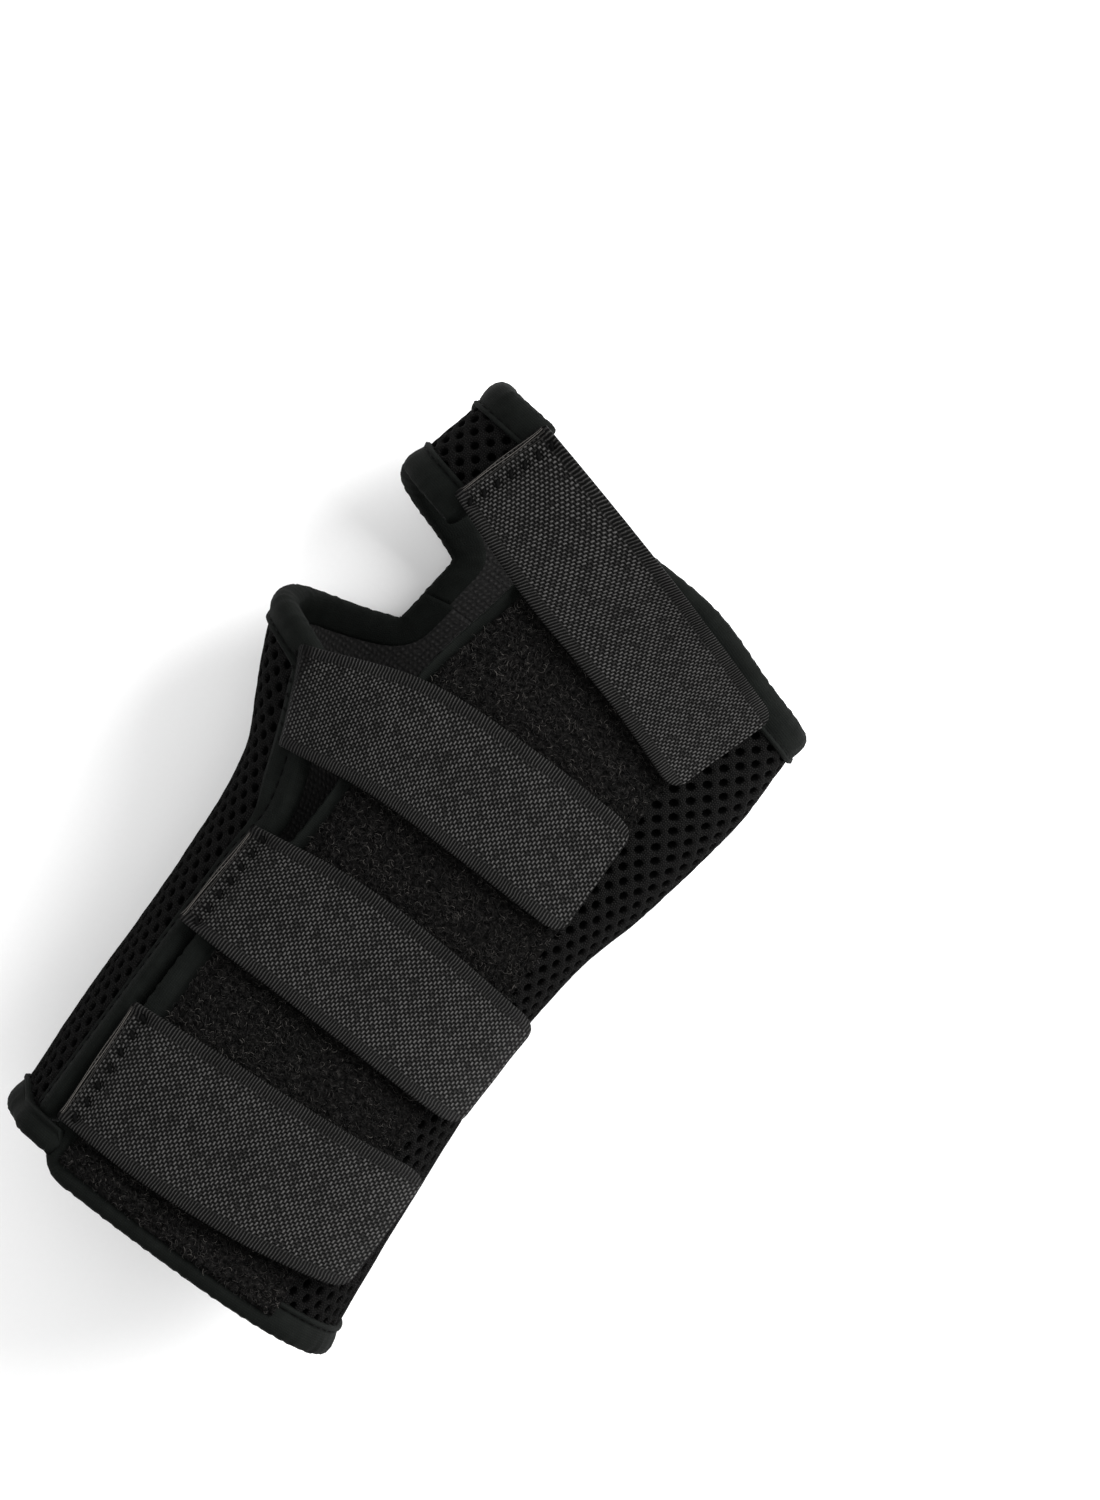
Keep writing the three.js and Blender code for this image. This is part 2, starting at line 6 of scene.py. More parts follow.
import bmesh
import bpy
import numpy as np
from mathutils import Vector
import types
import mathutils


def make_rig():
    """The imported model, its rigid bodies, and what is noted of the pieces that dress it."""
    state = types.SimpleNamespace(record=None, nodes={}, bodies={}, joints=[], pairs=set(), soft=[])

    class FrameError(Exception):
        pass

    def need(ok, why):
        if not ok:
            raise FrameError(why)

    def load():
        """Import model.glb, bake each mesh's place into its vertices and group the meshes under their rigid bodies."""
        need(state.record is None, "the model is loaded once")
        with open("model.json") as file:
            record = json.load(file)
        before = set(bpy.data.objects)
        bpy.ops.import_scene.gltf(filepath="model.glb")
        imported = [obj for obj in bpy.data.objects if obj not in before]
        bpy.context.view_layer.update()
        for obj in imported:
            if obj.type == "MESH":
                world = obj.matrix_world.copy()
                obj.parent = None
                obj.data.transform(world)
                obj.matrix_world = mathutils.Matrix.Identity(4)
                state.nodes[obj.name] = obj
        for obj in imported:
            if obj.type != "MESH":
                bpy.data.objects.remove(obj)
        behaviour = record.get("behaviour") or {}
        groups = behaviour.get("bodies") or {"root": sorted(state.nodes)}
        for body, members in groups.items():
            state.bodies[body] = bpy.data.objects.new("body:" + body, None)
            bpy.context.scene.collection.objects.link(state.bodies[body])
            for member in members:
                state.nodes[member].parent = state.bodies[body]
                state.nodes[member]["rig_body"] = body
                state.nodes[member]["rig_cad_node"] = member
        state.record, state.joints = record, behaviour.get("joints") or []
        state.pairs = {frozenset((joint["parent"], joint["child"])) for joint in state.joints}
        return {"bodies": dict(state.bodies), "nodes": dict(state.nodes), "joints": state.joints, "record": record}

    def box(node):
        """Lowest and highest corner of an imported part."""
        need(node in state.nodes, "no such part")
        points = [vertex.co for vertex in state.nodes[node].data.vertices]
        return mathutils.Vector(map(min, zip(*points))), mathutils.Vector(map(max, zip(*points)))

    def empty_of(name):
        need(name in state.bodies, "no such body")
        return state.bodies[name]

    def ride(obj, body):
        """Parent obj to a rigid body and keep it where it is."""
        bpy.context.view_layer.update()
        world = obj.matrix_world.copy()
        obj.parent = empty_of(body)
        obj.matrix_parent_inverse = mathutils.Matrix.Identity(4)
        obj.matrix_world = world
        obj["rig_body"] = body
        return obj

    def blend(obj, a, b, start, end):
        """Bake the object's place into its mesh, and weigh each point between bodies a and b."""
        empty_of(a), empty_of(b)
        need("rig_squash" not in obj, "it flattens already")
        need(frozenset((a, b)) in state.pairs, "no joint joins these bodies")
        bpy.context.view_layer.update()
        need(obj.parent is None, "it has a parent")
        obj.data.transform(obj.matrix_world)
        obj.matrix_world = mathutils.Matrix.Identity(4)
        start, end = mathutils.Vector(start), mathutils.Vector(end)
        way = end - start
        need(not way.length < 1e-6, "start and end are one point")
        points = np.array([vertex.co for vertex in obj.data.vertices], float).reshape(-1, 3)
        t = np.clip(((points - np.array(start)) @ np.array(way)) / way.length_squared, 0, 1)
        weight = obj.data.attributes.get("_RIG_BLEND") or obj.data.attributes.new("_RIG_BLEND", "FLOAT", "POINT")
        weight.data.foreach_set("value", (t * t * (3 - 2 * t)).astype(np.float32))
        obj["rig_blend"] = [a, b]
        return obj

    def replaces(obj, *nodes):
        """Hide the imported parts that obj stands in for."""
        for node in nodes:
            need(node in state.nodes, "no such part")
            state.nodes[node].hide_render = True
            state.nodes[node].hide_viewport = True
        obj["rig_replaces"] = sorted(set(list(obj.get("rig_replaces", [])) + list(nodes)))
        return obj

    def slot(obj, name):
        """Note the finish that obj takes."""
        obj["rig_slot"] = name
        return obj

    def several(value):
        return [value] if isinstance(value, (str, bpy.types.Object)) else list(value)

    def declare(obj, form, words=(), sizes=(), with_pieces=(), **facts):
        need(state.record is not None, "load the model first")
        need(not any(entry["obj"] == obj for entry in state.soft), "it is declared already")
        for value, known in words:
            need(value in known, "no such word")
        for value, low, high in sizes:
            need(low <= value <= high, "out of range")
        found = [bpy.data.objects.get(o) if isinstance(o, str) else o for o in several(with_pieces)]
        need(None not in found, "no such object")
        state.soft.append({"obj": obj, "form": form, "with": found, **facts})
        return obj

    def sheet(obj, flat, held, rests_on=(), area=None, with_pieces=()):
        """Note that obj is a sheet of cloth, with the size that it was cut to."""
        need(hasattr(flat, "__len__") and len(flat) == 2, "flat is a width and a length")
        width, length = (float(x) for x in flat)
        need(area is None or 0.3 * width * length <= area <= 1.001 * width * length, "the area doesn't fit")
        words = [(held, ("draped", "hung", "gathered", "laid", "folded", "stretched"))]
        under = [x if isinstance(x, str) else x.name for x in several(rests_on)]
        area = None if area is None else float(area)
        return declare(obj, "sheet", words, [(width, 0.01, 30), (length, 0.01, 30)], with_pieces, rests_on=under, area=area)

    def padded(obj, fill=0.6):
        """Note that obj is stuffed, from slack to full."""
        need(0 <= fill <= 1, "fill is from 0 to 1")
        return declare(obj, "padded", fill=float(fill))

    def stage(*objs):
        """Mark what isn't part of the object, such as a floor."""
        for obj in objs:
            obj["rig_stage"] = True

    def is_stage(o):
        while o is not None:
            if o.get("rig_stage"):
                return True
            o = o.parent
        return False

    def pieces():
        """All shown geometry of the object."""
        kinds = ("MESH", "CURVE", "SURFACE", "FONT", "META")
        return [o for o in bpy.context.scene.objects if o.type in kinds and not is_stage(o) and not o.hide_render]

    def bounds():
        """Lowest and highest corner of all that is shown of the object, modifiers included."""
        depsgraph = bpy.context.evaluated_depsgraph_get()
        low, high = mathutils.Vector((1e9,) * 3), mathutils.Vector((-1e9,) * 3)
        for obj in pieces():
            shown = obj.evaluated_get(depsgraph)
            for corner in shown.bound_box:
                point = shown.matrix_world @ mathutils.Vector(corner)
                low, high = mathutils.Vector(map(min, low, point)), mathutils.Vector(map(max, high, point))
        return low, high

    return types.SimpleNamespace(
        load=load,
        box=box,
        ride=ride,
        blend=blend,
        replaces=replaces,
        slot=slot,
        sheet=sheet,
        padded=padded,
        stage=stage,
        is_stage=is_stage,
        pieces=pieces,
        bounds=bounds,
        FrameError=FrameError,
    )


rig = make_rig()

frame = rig.load()
cad_low, cad_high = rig.bounds()
random = np.random.default_rng(11)
MM = 0.001

# ---- Driving dimensions, in millimetres on the CAD part's own axes: x towards the little finger's side,
# ---- y towards the fingers and z towards the back of the hand ----

BOW_RADIUS = 590
BOW_MIDDLE_Y = 4
LINING = (0.0, 0.9)
MESH = (1.1, 4.3)
WALL = MESH[1]
STRAP_INNER = 6.0
STRAP_THICKNESS = 1.4
HOOK_TOP = 7.1
PROXIMAL_Y = -86.2
RADIAL_PROXIMAL_Y = -81.3
RADIAL_DISTAL_Y = (28.6, 25.2)  # by the thumb opening, and by the flap's edge
RADIAL_HEM_END = (-25.6, -82.0)
PALM_DISTAL = (70.5, 92.5)  # on the little finger's side, and on the thumb's
PALM_DISTAL_DIP = 3
THUMB_REACH = 26
THUMB_TOP = (28.8, 76.8)
THUMB_FLOOR = (44, 63)
THUMB_MIDDLE_Y = 53
WEB_PROXIMAL = (77, 72)  # at the web bar's fold, and at its end
WEB_DISTAL = (92, 89.5)
WEB_END_X = (-33.5, -36.5)  # of the fingers' edge, and of the thumb's
LOOP_BACK = 4.35
LOOP_FACE = 5.25
STAY_X = -3
STAY_HALF_WIDTH = 10
STAY_ENDS = (-78, 70)
STAY_LAYER = (4.7, 6.7)
POCKET_HALF_WIDTH = 17
POCKET_ENDS = (-83.5, 77.6)
POCKET_MOUTH_Y = -82.6
POCKET_SEAM_X = 14.6
POCKET_SEAM_Y = 75.6
# Two points on the line that each flap folds about.
FOLDS = {
    "radial": ((-43.5, -87, 34), (-55, 33, 35)),
    "web": ((-56, 70, 22), (-49.5, 98, 24.7)),
    "ulnar": ((44.5, -87, 35), (50.5, 85, 23)),
}


def profile(stations):
    """A smooth curve through [at, value] stations, for arrays."""
    at, value = np.array(stations, float).T
    slope = np.gradient(value, at)
    slope[1:-1] = (value[2:] - value[:-2]) / (at[2:] - at[:-2])

    def curve(where):
        where = np.clip(where, at[0], at[-1])
        k = np.clip(np.searchsorted(at, where, side="right") - 1, 0, len(at) - 2)
        span = at[k + 1] - at[k]
        t = (where - at[k]) / span
        rise = value[k + 1] - value[k]
        bend_in = slope[k] * span - rise
        bend_out = rise - slope[k + 1] * span
        return value[k] + rise * t + t * (1 - t) * (bend_in * (1 - t) + bend_out * t)

    return curve


radial_side = profile([
    [-90, -41], [-73, -41], [-19, -42.3], [2, -44.8], [12.5, -49.6],
    [25, -56.7], [33, -59], [50, -58], [73, -53.5], [98, -47.5],
])
ulnar_side = profile([
    [-90, 42.2], [-62, 39.6], [-25, 36.9], [-5, 37.2], [12.5, 39.6],
    [27, 42.7], [44, 45.8], [60, 47.6], [75, 48], [98, 47],
])
channel_depth = profile([[-90, 57], [-50, 52], [-15, 46], [10, 45], [35, 43], [60, 38], [98, 34]])
ulnar_distal = profile([[0, 83], [0.3, 80.6], [0.5, 78.4], [0.75, 73], [1, 69.5]])
ulnar_flap_edge = profile([[-90, -24.6], [-20, -24.8], [-6, -22.8], [38, -22.4], [64, -17.6], [90, -15]])
radial_flap_edge = profile([[-90, -35.2], [-14, -35.2], [-4, -34], [10, -38], [20, -42], [30, -46.5]])
loop_right = profile([[-90, 28.3], [-74, 28.6], [-60, 29.8], [90, 29.8]])
ulnar_edge_reach = profile([[-90, 4.9], [-20, 4.9], [-6, 2.5], [90, 2.9]])

# Each strap's long edges on the fingers' and the arm's side, as (x, y) points from its sewn end to its free
# end, how much of its length is sewn down and carries the hook pad, and the body that it is sewn to.
STRAPS = [
    {
        "finger": [[-34.4, 94.6], [-0.4, 85.6], [20.4, 79.5], [38.8, 73.8]],
        "arm": [[-41, 72], [-16, 62.8], [10, 56], [31, 48.8]],
        "sewn": 0.1, "hook": (0.5, 0.9), "body": "web_bar",
    },
    {
        "finger": [[-46, 28.6], [-22, 37.2], [4, 38.8], [29.4, 38]],
        "arm": [[-40.5, 8.2], [-18, 11.6], [5, 11.6], [29.4, 10.8]],
        "sewn": 0.07, "hook": (0.5, 0.96), "body": "radial_flap",
    },
    {
        "finger": [[-33.4, -8], [-10, -4.4], [14, -4.6], [35.8, -7]],
        "arm": [[-34.6, -32.6], [-10, -32.3], [12, -32.8], [35, -34]],
        "sewn": 0.06, "hook": (0.5, 0.9), "body": "radial_flap",
    },
    {
        "finger": [[-31.4, -51.2], [-8, -48.6], [14, -47], [36, -45.2]],
        "arm": [[-30, -78.8], [-8, -78.4], [14, -76.6], [36, -73.4]],
        "sewn": 0.06, "hook": (0.5, 0.88), "body": "radial_flap",
    },
]


# ---- The sleeve that every piece of cloth lies on ----


def mix(a, b, t):
    return a + (b - a) * t


def stacked(*parts):
    """Arrays or numbers side by side, as the coordinates of points."""
    return np.stack(np.broadcast_arrays(*parts), -1)


def ease(t, low=0.0, high=1.0):
    t = np.clip((t - low) / (high - low), 0, 1)
    return t * t * (3 - 2 * t)


def bow(y):
    """How much higher the splint lies at y than at its lowest point, because it bends with the wrist."""
    return BOW_RADIUS - np.sqrt(BOW_RADIUS**2 - (y - BOW_MIDDLE_Y) ** 2)


class Sleeve:
    """The inner face of the splint. A place on it is a distance round from the middle of the back,
    positive by the little finger's side, and a distance y along the arm."""

    FIRST_Y = -102.0
    STEP = 0.5
    ROWS = 424
    TURNS = 360
    SAMPLES = 900
    DORSAL_POWER = 2.4
    PALM_POWER = 3
    PALM_CUT = 2.5

    def __init__(self):
        turn = np.linspace(0, 2 * math.pi, self.TURNS + 1)
        dorsal = np.cos(turn) >= 0
        power = np.where(dorsal, self.DORSAL_POWER, self.PALM_POWER)
        self.y = self.FIRST_Y + self.STEP * np.arange(self.ROWS)
        self.table = np.empty((self.ROWS, self.SAMPLES, 4))
        self.girths = np.empty(self.ROWS)
        self.sides = np.empty((self.ROWS, 2))
        for row, y in enumerate(self.y):
            centre = (radial_side(y) + ulnar_side(y)) / 2
            reach = (ulnar_side(y) - radial_side(y)) / 2 - WALL
            half = channel_depth(y) / 2
            deep = np.where(dorsal, half, half + self.PALM_CUT)
            radius = (abs(np.sin(turn) / reach) ** power + abs(np.cos(turn) / deep) ** power) ** (-1 / power)
            x = centre + radius * np.sin(turn)
            z = np.maximum(0, half + radius * np.cos(turn))
            distance = np.concatenate([[0], np.cumsum(np.hypot(np.diff(x), np.diff(z)))])
            self.girths[row] = distance[-1]
            quarter = self.TURNS // 4
            self.sides[row] = distance[3 * quarter] - distance[-1], distance[quarter]
            even = distance[-1] * np.arange(self.SAMPLES) / self.SAMPLES
            x, z = np.interp(even, distance, x), np.interp(even, distance, z)
            normal = np.array([np.roll(z, 1) - np.roll(z, -1), np.roll(x, -1) - np.roll(x, 1)])
            normal /= np.linalg.norm(normal, axis=0)
            self.table[row] = np.array([x, z, *normal]).T

    def girth(self, y):
        return np.interp(y, self.y, self.girths)

    def place(self, around, y, out):
        """Points in design millimetres, out from the inner face."""
        around, y, out = np.broadcast_arrays(*(np.asarray(v, float) for v in (around, y, out)))
        row = np.clip((y - self.FIRST_Y) / self.STEP, 0, self.ROWS - 1.001)
        low = row.astype(int)
        found = np.zeros(y.shape + (4,))
        for index, share in ((low, 1 - (row - low)), (low + 1, row - low)):
            step = (around / self.girths[index]) % 1 * self.SAMPLES
            k = np.floor(step).astype(int)
            before, after = self.table[index, k % self.SAMPLES], self.table[index, (k + 1) % self.SAMPLES]
            found += share[..., None] * mix(before, after, (step - k)[..., None])
        normal = found[..., 2:] / np.linalg.norm(found[..., 2:], axis=-1, keepdims=True)
        x = found[..., 0] + normal[..., 0] * out
        z = found[..., 1] + normal[..., 1] * out + bow(y)
        return np.stack([x, y, z], -1)

    def at(self, chart, out):
        """The same for (distance round, y) points."""
        return self.place(chart[..., 0], chart[..., 1], out)

    def find(self, y, low, high, out, test):
        """The distance round, between low and high, where a test on the place there starts to pass."""
        low, high = np.array(low, float), np.array(high, float)
        for _ in range(36):
            middle = (low + high) / 2
            passed = test(self.place(middle, y, out))
            high, low = np.where(passed, middle, high), np.where(passed, low, middle)
        return (low + high) / 2

    def around_at_x(self, x, y, out=WALL):
        """The distance round, on the back, at which the surface at that height reaches x."""
        x, y = np.broadcast_arrays(np.asarray(x, float), np.asarray(y, float))
        sides = [np.interp(y, self.y, self.sides[:, k]) for k in (0, 1)]
        return self.find(y, *sides, out, lambda p: p[..., 0] > x)

    def around_at_fold(self, name, y):
        """The distance round at which a flap folds at y."""
        y = np.asarray(y, float)
        (_, y0, z0), (_, y1, z1) = FOLDS[name]
        z = mix(z0, z1, (y - y0) / (y1 - y0))
        half = self.girth(y) / 2
        if name == "ulnar":
            return self.find(y, 0 * half, half, WALL, lambda p: p[..., 2] < z)
        return self.find(y, -half, 0 * half, WALL, lambda p: p[..., 2] > z)


sleeve = Sleeve()


def frame_offset():
    """Where the design axes' origin lies in the frame, in millimetres, from two nodes of the frame."""
    stay_low, stay_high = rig.box("palmar_stay")
    palm_low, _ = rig.box("palmar_mesh")
    return np.array([
        (stay_low.x + stay_high.x) / 2 / MM - STAY_X,
        palm_low.y / MM - PROXIMAL_Y,
        palm_low.z / MM + WALL,
    ])


OFFSET = frame_offset()


def in_frame(points):
    """Design millimetres to metres in the frame."""
    return (np.asarray(points, float) + OFFSET) * MM


# ---- Outlines of the cloth, as (distance round, y) paths with the outside on their left ----


def thumb_dip(y):
    """How far the thumb opening cuts into the palm side at y: 0 at its corners, 1 on its floor."""

    def quarter(start, end):
        return np.sin(math.pi / 2 * np.clip((y - start) / (end - start), 0, 1))

    return quarter(THUMB_TOP[0], THUMB_FLOOR[0]) * quarter(THUMB_TOP[1], THUMB_FLOOR[1])


def thumb_rim(y):
    """Distance round to the edge of the palm side in the thumb opening."""
    fold = "radial" if np.mean(y) < THUMB_MIDDLE_Y else "web"
    return mix(sleeve.around_at_fold(fold, y), THUMB_REACH - sleeve.girth(y) / 2, thumb_dip(y))


def palm_distal(u):
    """The finger-side edge of the palm side, from the little finger's side at u 0 to the thumb's at 1."""
    return mix(*PALM_DISTAL, u) - PALM_DISTAL_DIP * np.sin(math.pi * u)


def lengths_along(path):
    """The length of a path from its start to each of its points."""
    return np.concatenate([[0], np.cumsum(np.linalg.norm(np.diff(path, axis=0), axis=1))])


def resampled(path, step=1.0):
    """A path's points again, about one step apart."""
    path = np.asarray(path, float)
    distance = lengths_along(path)
    even = np.linspace(0, distance[-1], max(2, int(distance[-1] / step) + 1))
    return np.stack([np.interp(even, distance, values) for values in path.T], -1)


def joined(*paths):
    """Paths run together into one of even steps."""
    return resampled(np.concatenate(paths))


def smoothed(path, passes):
    path = path.copy()
    for _ in range(passes):
        path[1:-1] = (path[:-2] + 2 * path[1:-1] + path[2:]) / 4
    return path


def left_of(path):
    """The unit vector to the left of a path at each of its points."""
    along = np.gradient(path, axis=0)
    along /= np.maximum(np.linalg.norm(along, axis=1, keepdims=True), 1e-9)
    return stacked(-along[:, 1], along[:, 0])


def ulnar_paths():
    """Bottom, flap edge and finger-side edge of the cloth from the middle of the palm to the back."""
    u = np.linspace(0, 1, 40)
    corner = sleeve.around_at_x(ulnar_flap_edge(PROXIMAL_Y), PROXIMAL_Y)
    bottom = stacked(mix(sleeve.girth(PROXIMAL_Y) / 2, corner, u), PROXIMAL_Y)
    y = mix(PROXIMAL_Y, ulnar_distal(0.0), u)
    edge = stacked(sleeve.around_at_x(ulnar_flap_edge(y), y), y)
    y = ulnar_distal(u)
    left = sleeve.around_at_x(ulnar_flap_edge(y), y)
    back = stacked(mix(left, sleeve.around_at_fold("ulnar", y), u), y)
    y = palm_distal(u / 2)
    palm = stacked(mix(sleeve.around_at_fold("ulnar", y), sleeve.girth(y) / 2, u), y)
    return bottom, edge, np.concatenate([back, palm])


def radial_paths():
    """Thumb-side edge from the middle of the opening, flap edge and bottom of the radial cloth."""
    y = np.linspace(THUMB_MIDDLE_Y, THUMB_TOP[0], 50)
    rim = stacked(thumb_rim(y), y)
    u = np.linspace(0, 1, 20)
    y = mix(*RADIAL_DISTAL_Y, u)
    corner = sleeve.around_at_x(radial_flap_edge(y[-1]), y[-1])
    top = stacked(mix(rim[-1, 0], corner, u), y)
    y = np.linspace(RADIAL_DISTAL_Y[1], RADIAL_PROXIMAL_Y, 60)
    edge = stacked(sleeve.around_at_x(radial_flap_edge(y), y), y)
    y = mix(RADIAL_PROXIMAL_Y, PROXIMAL_Y, ease(u, 0.15, 0.75))
    bottom = stacked(mix(edge[-1, 0], -sleeve.girth(PROXIMAL_Y) / 2, u), y)
    return np.concatenate([rim, top[1:]]), edge, bottom


def web_paths():
    """Finger-side edge from the middle of the palm, and thumb-side edge back to the opening's middle."""
    u = np.linspace(0, 1, 30)
    y = palm_distal((1 + u) / 2)
    palm = stacked(mix(-sleeve.girth(y) / 2, sleeve.around_at_fold("web", y), u), y)
    u = np.linspace(0, 1, 20)
    y = mix(*WEB_DISTAL, u)
    end = sleeve.around_at_x(WEB_END_X[0], WEB_DISTAL[1])
    bar = stacked(mix(sleeve.around_at_fold("web", y), end, u), y)
    y = mix(*WEB_PROXIMAL[::-1], u)
    end = sleeve.around_at_x(WEB_END_X[1], WEB_PROXIMAL[1])
    under = stacked(mix(end, sleeve.around_at_fold("web", y), u), y)
    y = np.linspace(THUMB_TOP[1], THUMB_MIDDLE_Y, 50)
    return np.concatenate([palm, bar[1:]]), np.concatenate([under, stacked(thumb_rim(y), y)])


# ---- Materials ----


class Shader:
    """Builds one material's nodes. Every method returns a socket."""

    def __init__(self, name, roughness, specular=0.3, sheen=0.0, metallic=0.0):
        self.material = bpy.data.materials.new(name)
        self.material.use_nodes = True
        self.nodes = self.material.node_tree.nodes
        self.links = self.material.node_tree.links
        self.surface = self.nodes["Principled BSDF"]
        self.surface.inputs["Roughness"].default_value = roughness
        self.surface.inputs["Specular IOR Level"].default_value = specular
        self.surface.inputs["Sheen Weight"].default_value = sheen
        self.surface.inputs["Sheen Roughness"].default_value = 0.6
        self.surface.inputs["Metallic"].default_value = metallic

    def feed(self, socket, value):
        if isinstance(value, bpy.types.NodeSocket):
            self.links.new(value, socket)
        else:
            socket.default_value = value

    def math(self, operation, *values):
        node = self.nodes.new("ShaderNodeMath")
        node.operation = operation
        for socket, value in zip(node.inputs, values):
            self.feed(socket, value)
        return node.outputs[0]

    def times(self, a, b):
        return self.math("MULTIPLY", a, b)

    def plus(self, a, b, share=1.0):
        """a plus a share of b."""
        return self.math("MULTIPLY_ADD", b, share, a)

    def cloth(self):
        """The cloth's own coordinates in millimetres, as a vector and its three parts."""
        node = self.nodes.new("ShaderNodeAttribute")
        node.attribute_name = "cloth"
        parts = self.nodes.new("ShaderNodeSeparateXYZ")
        self.links.new(node.outputs["Vector"], parts.inputs[0])
        return node.outputs["Vector"], *parts.outputs

    def noise(self, vector, scale, detail=2.0):
        node = self.nodes.new("ShaderNodeTexNoise")
        node.inputs["Scale"].default_value = scale
        node.inputs["Detail"].default_value = detail
        self.feed(node.inputs["Vector"], vector)
        return node.outputs["Fac"]

    def vector(self, x, y, z=0.0):
        node = self.nodes.new("ShaderNodeCombineXYZ")
        for socket, value in zip(node.inputs, (x, y, z)):
            self.feed(socket, value)
        return node.outputs[0]

    def ramp(self, value, stops):
        node = self.nodes.new("ShaderNodeValToRGB")
        band = node.color_ramp
        while len(band.elements) < len(stops):
            band.elements.new(1.0)
        for element, (place, colour) in zip(band.elements, stops):
            element.position = place
            element.color = (*colour, 1.0)
        self.feed(node.inputs[0], value)
        return node.outputs[0]

    def remap(self, value, low, high, to_low=0.0, to_high=1.0):
        node = self.nodes.new("ShaderNodeMapRange")
        for socket, number in zip(node.inputs, (value, low, high, to_low, to_high)):
            self.feed(socket, number)
        return node.outputs[0]

    def blend(self, share, first, second):
        """From a first colour to a second as the share goes from 0 to 1."""
        node = self.nodes.new("ShaderNodeMix")
        node.data_type = "RGBA"
        self.feed(node.inputs["Factor"], share)
        for socket, value in zip((node.inputs[6], node.inputs[7]), (first, second)):
            self.feed(socket, (*value, 1.0) if isinstance(value, tuple) else value)
        return node.outputs[2]

    def choose(self, share, first, second):
        """The same for plain numbers."""
        node = self.nodes.new("ShaderNodeMix")
        for socket, value in zip((node.inputs[0], node.inputs[2], node.inputs[3]), (share, first, second)):
            self.feed(socket, value)
        return node.outputs[0]

    def wave(self, value, period):
        """0 to 1 and back once in each period."""
        return self.plus(0.5, self.math("SINE", self.times(value, 2 * math.pi / period)), 0.5)

    def finish(self, colour, height, depth_mm):
        """Paints the surface, and raises it by a height from 0 to 1 times a depth in millimetres."""
        self.feed(self.surface.inputs["Base Color"], colour)
        node = self.nodes.new("ShaderNodeBump")
        node.inputs["Strength"].default_value = 1.0
        node.inputs["Distance"].default_value = depth_mm * MM
        self.feed(node.inputs["Height"], height)
        self.links.new(node.outputs[0], self.surface.inputs["Normal"])
        return self.material


def grey(value, warmth=0.0):
    return (value * (1 + warmth), value, value * (1 - warmth))


def mesh_material():
    """Knitted spacer mesh: fine ring-like knit between the holes, with painted shade that takes the colour near black
    down in them.
    """
    s = Shader("spacer_mesh_knit", 0.85, specular=0.02)
    vector, around, along, depth = s.cloth()
    courses = s.wave(s.plus(along, s.wave(around, 0.7), 0.25), 0.55)
    strands = s.wave(s.plus(around, courses, 0.2), 0.48)
    knit = s.times(courses, strands)
    fuzz = s.noise(vector, 2.2, 4)
    height = s.plus(knit, fuzz, 0.8)
    face = s.ramp(s.plus(s.times(fuzz, 0.5), knit, 0.55), [
        (0.15, grey(0.0011)), (0.45, grey(0.0042, 0.02)), (0.85, grey(0.016, 0.03)),
    ])
    # Painted shade: the colour fades to near black with depth down each hole.
    colour = s.blend(s.remap(depth, 0.05, 0.7), face, grey(0.0005))
    return s.finish(colour, height, 0.22)


def lining_material():
    """Soft brushed knit against the skin."""
    s = Shader("lining_brushed_knit", 0.95, specular=0.05, sheen=0.03)
    vector, around, along, _ = s.cloth()
    loops = s.times(s.wave(around, 1.1), s.wave(along, 1.3))
    fuzz = s.noise(vector, 1.6, 6)
    height = s.plus(fuzz, loops, 0.4)
    colour = s.ramp(height, [(0.3, grey(0.005)), (0.7, grey(0.012, 0.02)), (1.0, grey(0.024, 0.02))])
    return s.finish(colour, height, 0.35)


def binding_material():
    """Fine soft knit tape with a faint green cast."""
    s = Shader("binding_fine_knit", 0.75, specular=0.03)
    vector, along, across, _ = s.cloth()
    knit = s.times(s.wave(along, 0.42), s.wave(across, 0.5))
    height = s.plus(s.noise(vector, 3.0, 3), knit, 0.5)
    tone = s.plus(s.times(height, 0.4), s.noise(vector, 0.25, 3), 0.55)
    colour = s.ramp(tone, [
        (0.25, (0.0021, 0.0025, 0.0022)), (0.6, (0.0047, 0.0055, 0.0049)), (0.95, (0.0095, 0.011, 0.0098)),
    ])
    return s.finish(colour, height, 0.10)


def pile_material():
    """The near-black felt that the loops stand on."""
    s = Shader("loop_pile_ground", 0.95, specular=0.01)
    vector, *_ = s.cloth()
    tufts = s.plus(s.times(s.noise(vector, 0.9, 2), 0.5), s.noise(vector, 2.6, 3), 0.5)
    colour = s.ramp(tufts, [(0.40, grey(0.0008)), (0.55, grey(0.0045, 0.04)), (0.72, grey(0.017, 0.05))])
    return s.finish(colour, tufts, 0.5)


def fibre_material():
    """Single fibres: mostly near black, some light."""
    s = Shader("loop_pile_fibre", 0.6, specular=0.12)
    vector, shade, _, _ = s.cloth()
    colour = s.ramp(shade, [
        (0.15, grey(0.001)), (0.5, grey(0.0065, 0.04)), (0.8, grey(0.027, 0.07)), (1.0, grey(0.085, 0.08)),
    ])
    return s.finish(colour, s.noise(vector, 5.0), 0.02)


